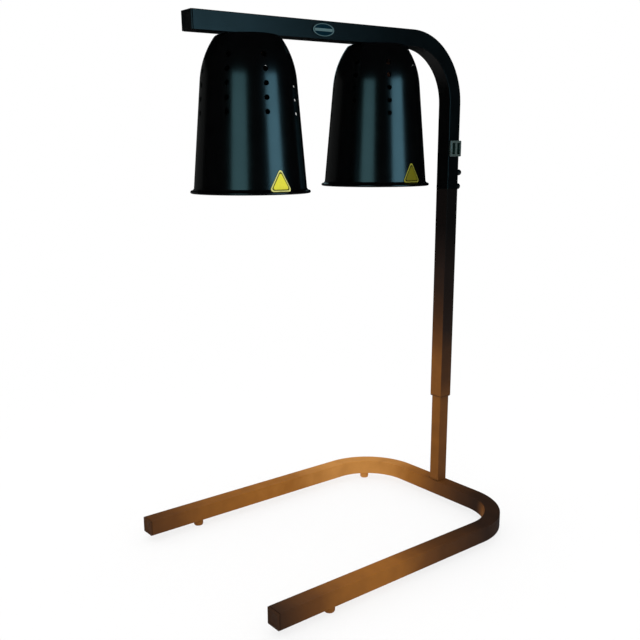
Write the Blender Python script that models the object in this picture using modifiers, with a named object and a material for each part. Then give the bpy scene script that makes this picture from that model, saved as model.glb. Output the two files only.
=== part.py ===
"""Free-standing heat lamp warmer with two shades on a bent arm.

Metres, +Z up. The base legs point to -Y and the post stands at the back.
The origin is on the floor under the centre of the bounding box.
Heights named ..._Z are measured from the underside of the base tube, and
places along Y from the post's axis; from_post() turns both into world places.
"""
import math

import bmesh
import bpy
from mathutils import Matrix, Vector

# ---------------------------------------------------------------- dimensions
GAP = 0.0003
MERGE = 0.00001

TUBE = 0.0254
TUBE_CORNER = 0.0012
LEAST_CORNER = 0.0002
CORNER_PULL = 2 - math.sqrt(2)
BASE_WALL = 0.0015
BASE_WIDTH = 0.379
LEG_REACH = 0.499
BACK_REACH = 0.030
BASE_BEND = 0.0923
BEND_STEPS = 8

FOOT_HEIGHT = 0.0115
FOOT_RADIUS = 0.008
FOOT_SETBACK = 0.096
REAR_FOOT_ANGLE = math.radians(36)
FOOT_SCREW_SEAT = 0.005
FOOT_SCREW_RADIUS = 0.002
FOOT_HOLE_RADIUS = 0.0024

PLUG_FLANGE = 0.0025
PLUG_DEPTH = 0.014

POST = 0.0208
POST_WALL = 0.0015
POST_TOP_Z = 0.350
GUIDE_HEIGHT = 0.008
GUIDE_DEPTH = 0.012
NUT_PLUG_LOW_Z = TUBE + 0.002
NUT_PLUG_HEIGHT = 0.018

BOLT_RADIUS = 0.0038
BOLT_BORE_RADIUS = 0.0041
BOLT_HOLE_RADIUS = 0.0045
BOLT_HEAD_RADIUS = 0.0075
BOLT_HEAD_HEIGHT = 0.0053
WASHER_RADIUS = 0.0085
WASHER_HEIGHT = 0.0016
ACCESS_RADIUS = 0.0095

SLEEVE_WALL = 0.0012
SLEEVE_INSIDE = TUBE - 2 * SLEEVE_WALL
INSERT = SLEEVE_INSIDE - 2 * GAP
SLEEVE_BOTTOM_Z = 0.1846
BUSH_FLANGE = 0.002
BUSH_HEIGHT = 0.025
SET_SCREW_Z = 0.200
SET_SCREW_RADIUS = 0.0025
SET_SCREW_HOLE = 0.0029
SOCKET_RADIUS = 0.001

SEAM_Z = 0.5524
COLLAR_HEIGHT = 0.0064
COLLAR_SIZE = 0.0258
SPIGOT_BOTTOM_Z = 0.500
SPIGOT_TOP_Z = 0.592
SPIGOT_WALL = 0.0015
KNOB_RADIUS = 0.005
THUMB_SCREW_RADIUS = 0.002
THUMB_SCREW_HOLE = 0.0025
GLAND_Z = 0.5755
GLAND_RADIUS = 0.0041
GLAND_BORE = 0.0032
GLAND_HOLE = 0.0045
GLAND_NUT_RADIUS = 0.0068
GLAND_NUT_HEIGHT = 0.003

ARM_UNDERSIDE_Z = 0.7704
ARM_DROOP = 0.020
ARM_BEND = 0.0960
ARM_REACH = 0.4935

SWITCH_Z = 0.6148
SWITCH_WIDTH = 0.024
SWITCH_HEIGHT = 0.0255
ROCKER_TILT = math.radians(7)
BEZEL_DEPTH = 0.0016
SWITCH_DEPTH = 0.019
BOOT_DEPTH = 0.0040
BOOT_WALL = 0.001

BADGE_Y = -0.2799
BADGE_LENGTH = 0.040
BADGE_HEIGHT = 0.018
BADGE_THICKNESS = 0.0012

LAMPS = {"front": -0.4002, "rear": -0.1654}
SHADE_DROP = 0.0013
SHADE_HEIGHT = 0.2072
SHADE_WALL = 0.001
MOUTH_RADIUS = 0.0794
WALL_TAPER = 0.0894
SHOULDER_H = 0.150
SHOULDER_RADIUS = 0.110
LIP_RADIUS = 0.0840
CROWN_DROP = 0.0015
STEM_HOLE = 0.0056
SHADE_STEPS = 32
VENT_ROWS = 8
VENTS_PER_ROW = 5
VENT_RADIUS = 0.0035
VENT_LOWEST = 0.1063
VENT_PITCH = 0.018
VENT_TURN = {"front": math.radians(-14), "rear": math.radians(-25.5)}

LABEL_TURN = {"front": math.radians(-3.6), "rear": math.radians(1.6)}
LABEL_RADIUS = 0.0205
LABEL_BASE = 0.0042
LABEL_THICKNESS = 0.0005

STEM_RADIUS = 0.005
STEM_BORE = 0.0032
STEM_RISE = 0.008
STEM_REACH = 0.013
STEM_NUT_HEIGHT = 0.004
HOLDER_DROP = 0.0046
HOLDER_LENGTH = 0.046
HOLDER_SOCKET = 0.0143
CAP_DROP = 0.0155
BULB_RADIUS = 0.0625
WIRE_RADIUS = 0.0013

POST_Y = (LEG_REACH - BACK_REACH) / 2
HALF = TUBE / 2
LEG_X = BASE_WIDTH / 2 - HALF
COLLAR_BOTTOM_Z = SEAM_Z - COLLAR_HEIGHT / 2
COLLAR_TOP_Z = SEAM_Z + COLLAR_HEIGHT / 2
ARM_START_Z = COLLAR_TOP_Z + GAP


def from_post(x, y, z):
    """World place of a point given from the post's axis and the base tube's underside."""
    return Vector((x, POST_Y + y, FOOT_HEIGHT + z))


def arm_underside(y):
    return ARM_UNDERSIDE_Z + ARM_DROOP * y


def shade_top_z(y):
    return arm_underside(y) - SHADE_DROP


# ------------------------------------------------------------------- scene
def clear_scene():
    for item in list(bpy.data.objects):
        bpy.data.objects.remove(item, do_unlink=True)


def new_collection(name):
    collection = bpy.data.collections.new(name)
    bpy.context.scene.collection.children.link(collection)
    return collection


clear_scene()
PARTS = new_collection("heat_lamp_warmer")
CUTTERS = new_collection("cutters")


def material(name, color, roughness, metallic=0.0):
    made = bpy.data.materials.new(name)
    made.use_nodes = True
    shader = made.node_tree.nodes["Principled BSDF"]
    shader.inputs["Base Color"].default_value = (*color, 1.0)
    shader.inputs["Roughness"].default_value = roughness
    shader.inputs["Metallic"].default_value = metallic
    return made


BLACK_PAINT = material("black_paint", (0.02, 0.023, 0.026), 0.35)
BRONZE_PAINT = material("bronze_paint", (0.17, 0.085, 0.03), 0.4)
BLACK_PLASTIC = material("black_plastic", (0.03, 0.03, 0.03), 0.5)
RUBBER = material("rubber", (0.02, 0.02, 0.02), 0.8)
STEEL = material("zinc_steel", (0.55, 0.55, 0.53), 0.35, 1.0)
BRASS = material("lamp_cap_brass", (0.7, 0.55, 0.3), 0.3, 1.0)
CERAMIC = material("ceramic", (0.85, 0.83, 0.78), 0.3)
GLASS = material("lamp_glass", (0.8, 0.2, 0.08), 0.1)
YELLOW = material("label_yellow", (0.85, 0.68, 0.02), 0.45)
BADGE_GREY = material("badge_grey", (0.5, 0.52, 0.54), 0.35)
BOOT_GREY = material("boot_grey", (0.45, 0.5, 0.5), 0.3)
WIRE_SLEEVE = material("wire_sleeve", (0.6, 0.58, 0.52), 0.6)


def new_object(name, data, finish, collection=None):
    made = bpy.data.objects.new(name, data)
    (collection or PARTS).objects.link(made)
    if finish:
        data.materials.append(finish)
    return made


def hide_cutter(item):
    item.hide_render = True
    item.display_type = "WIRE"


# ------------------------------------------------------------ shape helpers
def bevel(item, width, segments=1, angle=60):
    made = item.modifiers.new("bevel", "BEVEL")
    made.width = width
    made.segments = segments
    made.limit_method = "ANGLE"
    made.angle_limit = math.radians(angle)


def boolean(item, other, operation="DIFFERENCE"):
    made = item.modifiers.new("cut", "BOOLEAN")
    made.operation = operation
    made.object = other
    made.solver = "EXACT"


def box(name, size, finish, collection=None):
    mesh = bpy.data.meshes.new(name)
    grid = bmesh.new()
    bmesh.ops.create_cube(grid, size=1.0)
    bmesh.ops.scale(grid, vec=size, verts=grid.verts)
    grid.to_mesh(mesh)
    grid.free()
    return new_object(name, mesh, finish, collection)


def prism(name, radius, height, sides, finish, collection=None):
    """A straight cylinder or prism about Z, centred on its origin."""
    mesh = bpy.data.meshes.new(name)
    grid = bmesh.new()
    bmesh.ops.create_cone(
        grid, cap_ends=True, segments=sides, radius1=radius, radius2=radius, depth=height
    )
    grid.to_mesh(mesh)
    grid.free()
    return new_object(name, mesh, finish, collection)


def turned(name, profile, finish, steps=24, closed=False, collection=None):
    """Turns (radius, height) points about Z; they run down the outer side."""
    count = len(profile)
    edges = [(i, i + 1) for i in range(count - 1)]
    if closed:
        edges.append((count - 1, 0))
    mesh = bpy.data.meshes.new(name)
    mesh.from_pydata([(r, 0, z) for r, z in profile], edges, [])
    made = new_object(name, mesh, finish, collection)
    screw = made.modifiers.new("turn", "SCREW")
    screw.steps = steps
    screw.render_steps = steps
    screw.use_merge_vertices = True
    screw.merge_threshold = MERGE
    return made


def place(item, location, rotation=(0, 0, 0)):
    item.location = location
    if any(rotation):
        item.rotation_euler = rotation
    return item


def along_y(item, location):
    """Lays a part that was made about Z down, with its top towards +Y."""
    return place(item, location, (math.radians(-90), 0, 0))


def round_cutter(name, radius, length, location, rotation=(0, 0, 0), sides=16):
    made = prism(name, radius, length, sides, None, CUTTERS)
    hide_cutter(made)
    return place(made, location, rotation)


def box_cutter(name, size, location, rotation=(0, 0, 0)):
    made = box(name, size, None, CUTTERS)
    hide_cutter(made)
    return place(made, location, rotation)


def arc(centre, radius, start, end, steps):
    for i in range(steps + 1):
        angle = start + (end - start) * i / steps
        yield (centre[0] + radius * math.cos(angle), centre[1] + radius * math.sin(angle))


def add_outline(curve, points):
    spline = curve.splines.new("POLY")
    spline.points.add(len(points) - 1)
    for point, (x, y) in zip(spline.points, points):
        point.co = (x, y, 0, 1)
    spline.use_cyclic_u = True


def square_points(size, corner):
    """A square with its corners cut off, counter-clockwise."""
    half, edge = size / 2, size / 2 - corner
    top = [(half, edge), (edge, half), (-edge, half), (-half, edge)]
    return top + [(-x, -y) for x, y in top]


def inset_corner(inset):
    """The corner cut that runs parallel to the tube's own at this depth inside it."""
    return max(TUBE_CORNER - CORNER_PULL * inset, LEAST_CORNER)


def section_guide(name, size, corner):
    outline = bpy.data.curves.new(name, "CURVE")
    add_outline(outline, square_points(size, corner))
    made = new_object(name, outline, None, CUTTERS)
    made.hide_render = True
    return made


def as_mesh(guide, name, finish, collection=None):
    """Replaces a curve object by a mesh object with its caps welded."""
    bpy.context.view_layer.update()
    depsgraph = bpy.context.evaluated_depsgraph_get()
    mesh = bpy.data.meshes.new_from_object(guide.evaluated_get(depsgraph))
    matrix = guide.matrix_world.copy()
    bpy.data.objects.remove(guide)
    grid = bmesh.new()
    grid.from_mesh(mesh)
    bmesh.ops.remove_doubles(grid, verts=grid.verts, dist=MERGE)
    bmesh.ops.recalc_face_normals(grid, faces=grid.faces)
    grid.to_mesh(mesh)
    grid.free()
    mesh.name = name
    mesh.materials.clear()
    made = new_object(name, mesh, finish, collection)
    made.matrix_world = matrix
    return made


def square_block(name, size, low, high, finish, around=TUBE, collection=None):
    """An upright block whose cut corners follow those of the tube around it."""
    curve = bpy.data.curves.new(name, "CURVE")
    curve.dimensions = "2D"
    curve.fill_mode = "BOTH"
    curve.extrude = (high - low) / 2
    add_outline(curve, square_points(size, inset_corner((around - size) / 2)))
    guide = new_object(name + "_guide", curve, None, CUTTERS)
    guide.matrix_world = Matrix.Translation((0, 0, (low + high) / 2))
    made = as_mesh(guide, name, finish, collection)
    made.data.transform(made.matrix_world)
    made.matrix_world = Matrix.Identity(4)
    return made


def block_cutter(item, name, size, low, high, operation, around=TUBE):
    """Joins or cuts a block that shares the item's own frame."""
    other = square_block(name, size, low, high, None, around, CUTTERS)
    hide_cutter(other)
    other.parent = item
    boolean(item, other, operation)


def end_plug(name, insert_size):
    """A flat flange with its seat at the origin, and an insert below it."""
    plug = square_block(name, TUBE - 0.0004, 0, PLUG_FLANGE, BLACK_PLASTIC)
    block_cutter(plug, name + "_insert", insert_size, -PLUG_DEPTH, PLUG_FLANGE / 2, "UNION")
    return plug


def tube_along(name, path, size, wall, finish, place_matrix):
    """A square tube along a flat path, open at both ends."""
    curve = bpy.data.curves.new(name, "CURVE")
    curve.dimensions = "3D"
    curve.twist_mode = "Z_UP"
    curve.bevel_mode = "OBJECT"
    curve.bevel_object = section_guide(name + "_section", size, TUBE_CORNER)
    spline = curve.splines.new("POLY")
    spline.points.add(len(path) - 1)
    for point, (x, y) in zip(spline.points, path):
        point.co = (x, y, 0, 1)
    guide = new_object(name + "_guide", curve, None, CUTTERS)
    guide.matrix_world = place_matrix
    made = as_mesh(guide, name, finish)
    shell = made.modifiers.new("wall", "SOLIDIFY")
    shell.thickness = wall
    shell.offset = -1
    shell.use_even_offset = True
    return made


def straight_tube(name, size, wall, bottom_z, top_z, finish):
    upright = Matrix.Translation(from_post(0, 0, 0)) @ Matrix.Rotation(math.pi / 2, 4, "X")
    return tube_along(name, [(0, bottom_z), (0, top_z)], size, wall, finish, upright)


def smooth_route(points, per_span=2):
    """Points on a smooth curve through the route's own points."""
    ends = [points[0] * 2 - points[1]] + points + [points[-1] * 2 - points[-2]]
    route = []
    for a, b, c, d in zip(ends, ends[1:], ends[2:], ends[3:]):
        for i in range(per_span):
            t = i / per_span
            route.append(
                0.5 * (2 * b + (c - a) * t + (2 * a - 5 * b + 4 * c - d) * t * t
                       + (3 * b - a - 3 * c + d) * t ** 3)
            )
    route.append(points[-1])
    return route


def wire(name, points, radius, finish):
    curve = bpy.data.curves.new(name, "CURVE")
    curve.dimensions = "3D"
    curve.bevel_depth = radius
    curve.bevel_resolution = 2
    curve.use_fill_caps = True
    route = smooth_route([Vector(p) for p in points])
    spline = curve.splines.new("POLY")
    spline.points.add(len(route) - 1)
    for point, co in zip(spline.points, route):
        point.co = (*co, 1)
    return new_object(name, curve, finish)


def hex_nut(name, across_flats, height, bore, location, finish):
    made = prism(name, across_flats / math.sqrt(3), height, 6, finish)
    place(made, location, (0, 0, math.radians(30)))
    boolean(made, round_cutter(name + "_bore", bore, height * 3, location))
    return made


# -------------------------------------------------------------------- base
def base_path():
    """From the left leg's front end round the back bar to the right leg's."""
    corner_x = LEG_X - BASE_BEND
    front = -(LEG_REACH - PLUG_FLANGE - GAP)
    left = list(arc((-corner_x, -BASE_BEND), BASE_BEND, math.pi, math.pi / 2, BEND_STEPS))
    right = [(-x, y) for x, y in reversed(left)]
    return [(-LEG_X, front)] + left + right + [(LEG_X, front)]


def foot_places():
    side = LEG_X - BASE_BEND + BASE_BEND * math.cos(REAR_FOOT_ANGLE)
    back = -BASE_BEND + BASE_BEND * math.sin(REAR_FOOT_ANGLE)
    front = -(LEG_REACH - FOOT_SETBACK)
    return {
        "front_left": (-LEG_X, front),
        "front_right": (LEG_X, front),
        "rear_left": (-side, back),
        "rear_right": (side, back),
    }


def build_base():
    frame = tube_along(
        "base_frame", base_path(), TUBE, BASE_WALL, BRONZE_PAINT,
        Matrix.Translation(from_post(0, 0, HALF)),
    )
    for where, (x, y) in foot_places().items():
        hole = round_cutter(
            "hole_" + where, FOOT_HOLE_RADIUS, 4 * BASE_WALL, from_post(x, y, 0), sides=12
        )
        boolean(frame, hole)
        build_foot(where, x, y)
    bolt_hole = round_cutter(
        "post_bolt_hole", BOLT_HOLE_RADIUS, 4 * BASE_WALL, from_post(0, 0, TUBE)
    )
    boolean(frame, bolt_hole)
    access = round_cutter("spanner_hole", ACCESS_RADIUS, 4 * BASE_WALL, from_post(0, 0, 0))
    boolean(frame, access)
    for side, sign in (("left", -1), ("right", 1)):
        build_leg_plug(side, sign * LEG_X)


def build_foot(where, x, y):
    top = FOOT_HEIGHT - GAP
    foot = turned(
        "foot_" + where,
        [(FOOT_RADIUS * 0.9, top), (FOOT_RADIUS, top - 0.002), (FOOT_RADIUS, 0.0015),
         (FOOT_RADIUS - 0.001, 0), (0.0046, 0), (0.0046, FOOT_SCREW_SEAT),
         (FOOT_HOLE_RADIUS, FOOT_SCREW_SEAT), (FOOT_HOLE_RADIUS, top)],
        RUBBER, steps=12, closed=True,
    )
    floor = from_post(x, y, -FOOT_HEIGHT)
    place(foot, floor)
    head_top = FOOT_SCREW_SEAT - GAP
    screw = turned(
        "foot_screw_" + where,
        [(0, 0.019), (0.0014, 0.019), (FOOT_SCREW_RADIUS, 0.0175), (FOOT_SCREW_RADIUS, head_top),
         (0.0038, head_top), (0.0038, head_top - 0.0012), (0.0026, head_top - 0.0024),
         (0, head_top - 0.0028)],
        STEEL, steps=10,
    )
    place(screw, floor)


def build_leg_plug(side, x):
    plug = end_plug("leg_end_plug_" + side, TUBE - 2 * (BASE_WALL + GAP))
    turn = Matrix.Rotation(math.pi / 2, 4, "X")
    plug.matrix_world = Matrix.Translation(from_post(x, -(LEG_REACH - PLUG_FLANGE), HALF)) @ turn


# -------------------------------------------------------------------- post
def build_inner_post():
    straight_tube("inner_post", POST, POST_WALL, TUBE + GAP, POST_TOP_Z, BRONZE_PAINT)
    inside = POST - 2 * (POST_WALL + GAP)
    plug_top = NUT_PLUG_LOW_Z + NUT_PLUG_HEIGHT
    plug = square_block("post_threaded_plug", inside, NUT_PLUG_LOW_Z, plug_top, STEEL, around=POST)
    place(plug, from_post(0, 0, 0))
    bore = round_cutter(
        "plug_bore", BOLT_BORE_RADIUS, 3 * NUT_PLUG_HEIGHT, from_post(0, 0, NUT_PLUG_LOW_Z)
    )
    boolean(plug, bore)
    build_post_bolt(plug_top)
    guide_top = POST_TOP_Z + GUIDE_HEIGHT
    guide = square_block("inner_post_guide", INSERT, POST_TOP_Z + GAP, guide_top, BLACK_PLASTIC)
    place(guide, from_post(0, 0, 0))
    block_cutter(
        guide, "guide_insert", inside, POST_TOP_Z - GUIDE_DEPTH, POST_TOP_Z + GUIDE_HEIGHT / 2,
        "UNION", around=POST,
    )


def build_post_bolt(plug_top):
    """The bolt and washer inside the base tube, put in through the hole in its underside."""
    washer_top = TUBE - BASE_WALL - GAP
    washer_low = washer_top - WASHER_HEIGHT
    washer = turned(
        "post_base_washer",
        [(WASHER_RADIUS, washer_top), (WASHER_RADIUS, washer_low),
         (BOLT_HOLE_RADIUS, washer_low), (BOLT_HOLE_RADIUS, washer_top)],
        STEEL, steps=16, closed=True,
    )
    place(washer, from_post(0, 0, 0))
    head_top = washer_low - GAP
    head = prism("post_base_bolt", BOLT_HEAD_RADIUS, BOLT_HEAD_HEIGHT, 6, STEEL)
    place(head, from_post(0, 0, head_top - BOLT_HEAD_HEIGHT / 2))
    shaft_low, shaft_top = head_top - BOLT_HEAD_HEIGHT / 2, plug_top - BOLT_RADIUS
    shaft = prism("post_bolt_shaft", BOLT_RADIUS, shaft_top - shaft_low, 16, None, CUTTERS)
    hide_cutter(shaft)
    place(shaft, from_post(0, 0, (shaft_low + shaft_top) / 2))
    boolean(head, shaft, "UNION")


def build_sleeve():
    at_hole = from_post(0, HALF - SLEEVE_WALL, SET_SCREW_Z)
    hole = round_cutter(
        "set_screw_hole", SET_SCREW_HOLE, 6 * SLEEVE_WALL, at_hole, (math.radians(90), 0, 0)
    )
    flange_top = SLEEVE_BOTTOM_Z + BUSH_FLANGE
    sleeve = straight_tube(
        "outer_post", TUBE, SLEEVE_WALL, flange_top + GAP, COLLAR_BOTTOM_Z - GAP, BRONZE_PAINT
    )
    boolean(sleeve, hole)
    bush_top = SLEEVE_BOTTOM_Z + BUSH_HEIGHT
    bush = square_block(
        "outer_post_bush", TUBE - 0.0002, SLEEVE_BOTTOM_Z, flange_top, BLACK_PLASTIC
    )
    place(bush, from_post(0, 0, 0))
    block_cutter(bush, "bush_insert", INSERT, flange_top - BUSH_FLANGE / 2, bush_top, "UNION")
    bore = POST + 2 * GAP
    past = BUSH_FLANGE
    block_cutter(bush, "bush_bore", bore, SLEEVE_BOTTOM_Z - past, bush_top + past, "DIFFERENCE")
    boolean(bush, hole)
    build_set_screw()


def build_set_screw():
    tip = POST / 2 + GAP
    screw = turned(
        "height_set_screw",
        [(SOCKET_RADIUS, HALF + 0.0002), (SET_SCREW_RADIUS * 0.88, HALF + 0.0002),
         (SET_SCREW_RADIUS, HALF - 0.0002), (SET_SCREW_RADIUS, tip + 0.0004),
         (SET_SCREW_RADIUS * 0.84, tip), (0, tip), (0, HALF - 0.001),
         (SOCKET_RADIUS, HALF - 0.001)],
        STEEL, steps=12, closed=True,
    )
    along_y(screw, from_post(0, 0, SET_SCREW_Z))


# ------------------------------------------------------------- upper joint
def build_joint():
    screw_hole = round_cutter(
        "thumb_screw_hole", THUMB_SCREW_HOLE, 0.010, from_post(0, HALF - 0.0025, SEAM_Z),
        (math.radians(90), 0, 0),
    )
    gland_hole = round_cutter(
        "gland_hole", GLAND_HOLE, 0.010, from_post(0, HALF - 0.002, GLAND_Z),
        (math.radians(90), 0, 0),
    )
    collar = square_block(
        "joint_collar", COLLAR_SIZE, COLLAR_BOTTOM_Z, COLLAR_TOP_Z, BLACK_PAINT
    )
    place(collar, from_post(0, 0, 0))
    inside = INSERT + 2 * GAP
    block_cutter(collar, "collar_bore", inside, SPIGOT_BOTTOM_Z, SPIGOT_TOP_Z, "DIFFERENCE")
    boolean(collar, screw_hole)
    spigot = straight_tube(
        "joint_spigot", INSERT, SPIGOT_WALL, SPIGOT_BOTTOM_Z, SPIGOT_TOP_Z, STEEL
    )
    boolean(spigot, screw_hole)
    boolean(spigot, gland_hole)
    build_thumb_screw(COLLAR_SIZE / 2 + GAP)
    build_gland()
    return gland_hole


def build_thumb_screw(seat):
    screw = turned(
        "joint_thumb_screw",
        [(0, BACK_REACH), (KNOB_RADIUS * 0.7, BACK_REACH), (KNOB_RADIUS, BACK_REACH - 0.0016),
         (KNOB_RADIUS, seat + 0.007), (KNOB_RADIUS * 0.8, seat + 0.006),
         (KNOB_RADIUS * 0.8, seat), (THUMB_SCREW_RADIUS, seat), (THUMB_SCREW_RADIUS, 0.0075),
         (THUMB_SCREW_RADIUS * 0.7, 0.0068), (0, 0.0068)],
        BLACK_PLASTIC, steps=16,
    )
    along_y(screw, from_post(0, 0, SEAM_Z))


def build_gland():
    seat = HALF + GAP
    inner = INSERT / 2 - SPIGOT_WALL - GAP
    gland = turned(
        "cord_gland",
        [(0.0046, BACK_REACH), (KNOB_RADIUS, BACK_REACH - 0.0015), (KNOB_RADIUS, seat + 0.004),
         (0.006, seat + 0.003), (0.006, seat), (GLAND_RADIUS, seat), (GLAND_RADIUS, 0.0045),
         (GLAND_BORE, 0.0045), (GLAND_BORE, BACK_REACH)],
        BLACK_PLASTIC, steps=16, closed=True,
    )
    along_y(gland, from_post(0, 0, GLAND_Z))
    nut = prism("gland_nut", GLAND_NUT_RADIUS, GLAND_NUT_HEIGHT, 6, BLACK_PLASTIC)
    middle = from_post(0, inner - GLAND_NUT_HEIGHT / 2, GLAND_Z)
    lying = (math.radians(90), 0, 0)
    place(nut, middle, lying)
    bore = round_cutter("gland_nut_bore", GLAND_HOLE, 3 * GLAND_NUT_HEIGHT, middle, lying)
    boolean(nut, bore)


# --------------------------------------------------------------------- arm
def arm_path():
    """Height and reach of the arm's centre line, as (-y, z) points."""
    centre_z = ARM_UNDERSIDE_Z + HALF / math.cos(ARM_DROOP)
    turn = math.pi / 2 + math.atan(ARM_DROOP)
    end_reach = ARM_BEND - ARM_BEND * math.cos(turn)
    bend_z = centre_z - ARM_DROOP * end_reach - ARM_BEND * math.sin(turn)
    bend = list(arc((ARM_BEND, bend_z), ARM_BEND, math.pi, math.pi - turn, BEND_STEPS))
    tip = ARM_REACH - PLUG_FLANGE - GAP
    return [(0, ARM_START_Z)] + bend + [(tip, centre_z - ARM_DROOP * tip)]


def arm_turn():
    return math.atan(ARM_DROOP)


def build_arm(gland_hole):
    upright = Matrix.Translation(from_post(0, 0, 0)) @ Matrix.Rotation(math.pi / 2, 4, "Z")
    to_side = upright @ Matrix.Rotation(math.pi / 2, 4, "X")
    path = [(-reach, z) for reach, z in arm_path()]
    arm = tube_along("arm_tube", path, TUBE, SLEEVE_WALL, BLACK_PAINT, to_side)
    boolean(arm, gland_hole)
    window = (0.01, SWITCH_WIDTH - 0.004, SWITCH_HEIGHT - 0.004)
    boolean(arm, box_cutter("switch_window", window, from_post(HALF, 0, SWITCH_Z)))
    for side, y in LAMPS.items():
        spot = from_post(0, y, arm_underside(y))
        boolean(arm, round_cutter(side + "_stem_hole", STEM_HOLE, 5 * SLEEVE_WALL, spot))
    build_arm_plug()
    build_badge()


def build_arm_plug():
    plug = end_plug("arm_end_plug", INSERT)
    seat = ARM_REACH - PLUG_FLANGE
    centre_z = ARM_UNDERSIDE_Z + HALF / math.cos(ARM_DROOP) - ARM_DROOP * seat
    turn = Matrix.Rotation(math.pi / 2 + arm_turn(), 4, "X")
    plug.matrix_world = Matrix.Translation(from_post(0, -seat, centre_z)) @ turn


def build_badge():
    badge = prism("arm_badge", 0.5, BADGE_THICKNESS, 32, BADGE_GREY)
    centre_z = ARM_UNDERSIDE_Z + HALF + ARM_DROOP * BADGE_Y
    shape = Matrix.Diagonal((BADGE_LENGTH, BADGE_HEIGHT, 1, 1))
    badge.data.transform(shape)
    turn = Matrix.Rotation(arm_turn(), 4, "X") @ Matrix.Rotation(math.pi / 2, 4, "Y")
    flat = Matrix.Rotation(math.pi / 2, 4, "Z")
    spot = from_post(HALF + GAP + BADGE_THICKNESS / 2, BADGE_Y, centre_z)
    badge.matrix_world = Matrix.Translation(spot) @ turn @ flat


# ------------------------------------------------------------------ switch
def build_switch():
    face = HALF + GAP
    bezel = box("switch_housing", (BEZEL_DEPTH, SWITCH_WIDTH, SWITCH_HEIGHT), BLACK_PLASTIC)
    place(bezel, from_post(face + BEZEL_DEPTH / 2, 0, SWITCH_Z))
    body_size = (SWITCH_DEPTH, SWITCH_WIDTH - 0.005, SWITCH_HEIGHT - 0.005)
    body = box_cutter(
        "switch_body", body_size, from_post(face + 0.001 - SWITCH_DEPTH / 2, 0, SWITCH_Z)
    )
    boolean(bezel, body, "UNION")
    pocket = (0.012, SWITCH_WIDTH - 0.008, SWITCH_HEIGHT - 0.008)
    boolean(bezel, box_cutter("switch_pocket", pocket, from_post(face, 0, SWITCH_Z)))
    build_rocker(face)
    build_boot(face + BEZEL_DEPTH + GAP)


def build_rocker(face):
    width = SWITCH_WIDTH - 0.0088
    half_height = SWITCH_HEIGHT / 2 - 0.0047
    outline = bpy.data.curves.new("switch_rocker", "CURVE")
    outline.dimensions = "2D"
    outline.fill_mode = "BOTH"
    outline.extrude = width / 2
    add_outline(outline, [
        (0.0034, half_height), (0.0022, 0), (0.0034, -half_height),
        (-0.0012, -half_height), (-0.0030, 0), (-0.0012, half_height),
    ])
    rocker = new_object("switch_rocker", outline, BLACK_PLASTIC)
    place(rocker, from_post(face, 0, SWITCH_Z), (math.radians(90), ROCKER_TILT, 0))


def build_boot(seat):
    width, height = SWITCH_WIDTH - 2 * GAP, SWITCH_HEIGHT - 2 * GAP
    middle = from_post(seat + BOOT_DEPTH / 2, 0, SWITCH_Z)
    boot = box("switch_boot", (BOOT_DEPTH, width, height), BOOT_GREY)
    place(boot, middle)
    bevel(boot, 0.0012)
    hollow = (BOOT_DEPTH, width - 2 * BOOT_WALL, height - 2 * BOOT_WALL)
    boolean(boot, box_cutter("boot_hollow", hollow, middle - Vector((0.0008, 0, 0))))


# ------------------------------------------------------------------- lamps
def shade_profile():
    """Outer line of the shade from its stem hole down to its lip, with heights above the lip."""
    foot = MOUTH_RADIUS - WALL_TAPER * SHOULDER_H
    lean = math.atan(WALL_TAPER)
    centre = (foot - SHOULDER_RADIUS * math.cos(lean), SHOULDER_H - SHOULDER_RADIUS * math.sin(lean))
    edge_height = SHADE_HEIGHT - CROWN_DROP
    end = math.asin((edge_height - centre[1]) / SHOULDER_RADIUS)
    dome = list(arc(centre, SHOULDER_RADIUS, end, lean, 4))
    crown = [(STEM_HOLE, SHADE_HEIGHT), (dome[0][0] - 0.0035, SHADE_HEIGHT)]
    wall = [(MOUTH_RADIUS - WALL_TAPER * 0.005, 0.005)]
    lip = [(MOUTH_RADIUS + 0.0008, 0.0026), (LIP_RADIUS - 0.0012, 0.0012), (LIP_RADIUS, 0.002)]
    return crown + dome + wall + lip


def vent_cutter(side, location):
    mesh = bpy.data.meshes.new(side + "_vents")
    grid = bmesh.new()
    for row in range(VENT_ROWS):
        angle = VENT_TURN[side] + 2 * math.pi * row / VENT_ROWS
        for i in range(VENTS_PER_ROW):
            height = VENT_LOWEST + VENT_PITCH * i
            spot = Matrix.Rotation(angle, 4, "Z") @ Matrix.Translation((0.062, 0, height))
            bmesh.ops.create_cone(
                grid, cap_ends=True, segments=6, radius1=VENT_RADIUS, radius2=VENT_RADIUS,
                depth=0.03, matrix=spot @ Matrix.Rotation(math.pi / 2, 4, "Y"),
            )
    grid.to_mesh(mesh)
    grid.free()
    made = new_object(side + "_vents", mesh, None, CUTTERS)
    hide_cutter(made)
    return place(made, location)


def build_shade(side, y):
    rim = from_post(0, y, shade_top_z(y) - SHADE_HEIGHT)
    shade = turned(side + "_shade", shade_profile(), BLACK_PAINT, steps=SHADE_STEPS)
    place(shade, rim)
    shell = shade.modifiers.new("wall", "SOLIDIFY")
    shell.thickness = SHADE_WALL
    shell.offset = -1
    boolean(shade, vent_cutter(side, rim))
    build_label(side, rim)


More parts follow.
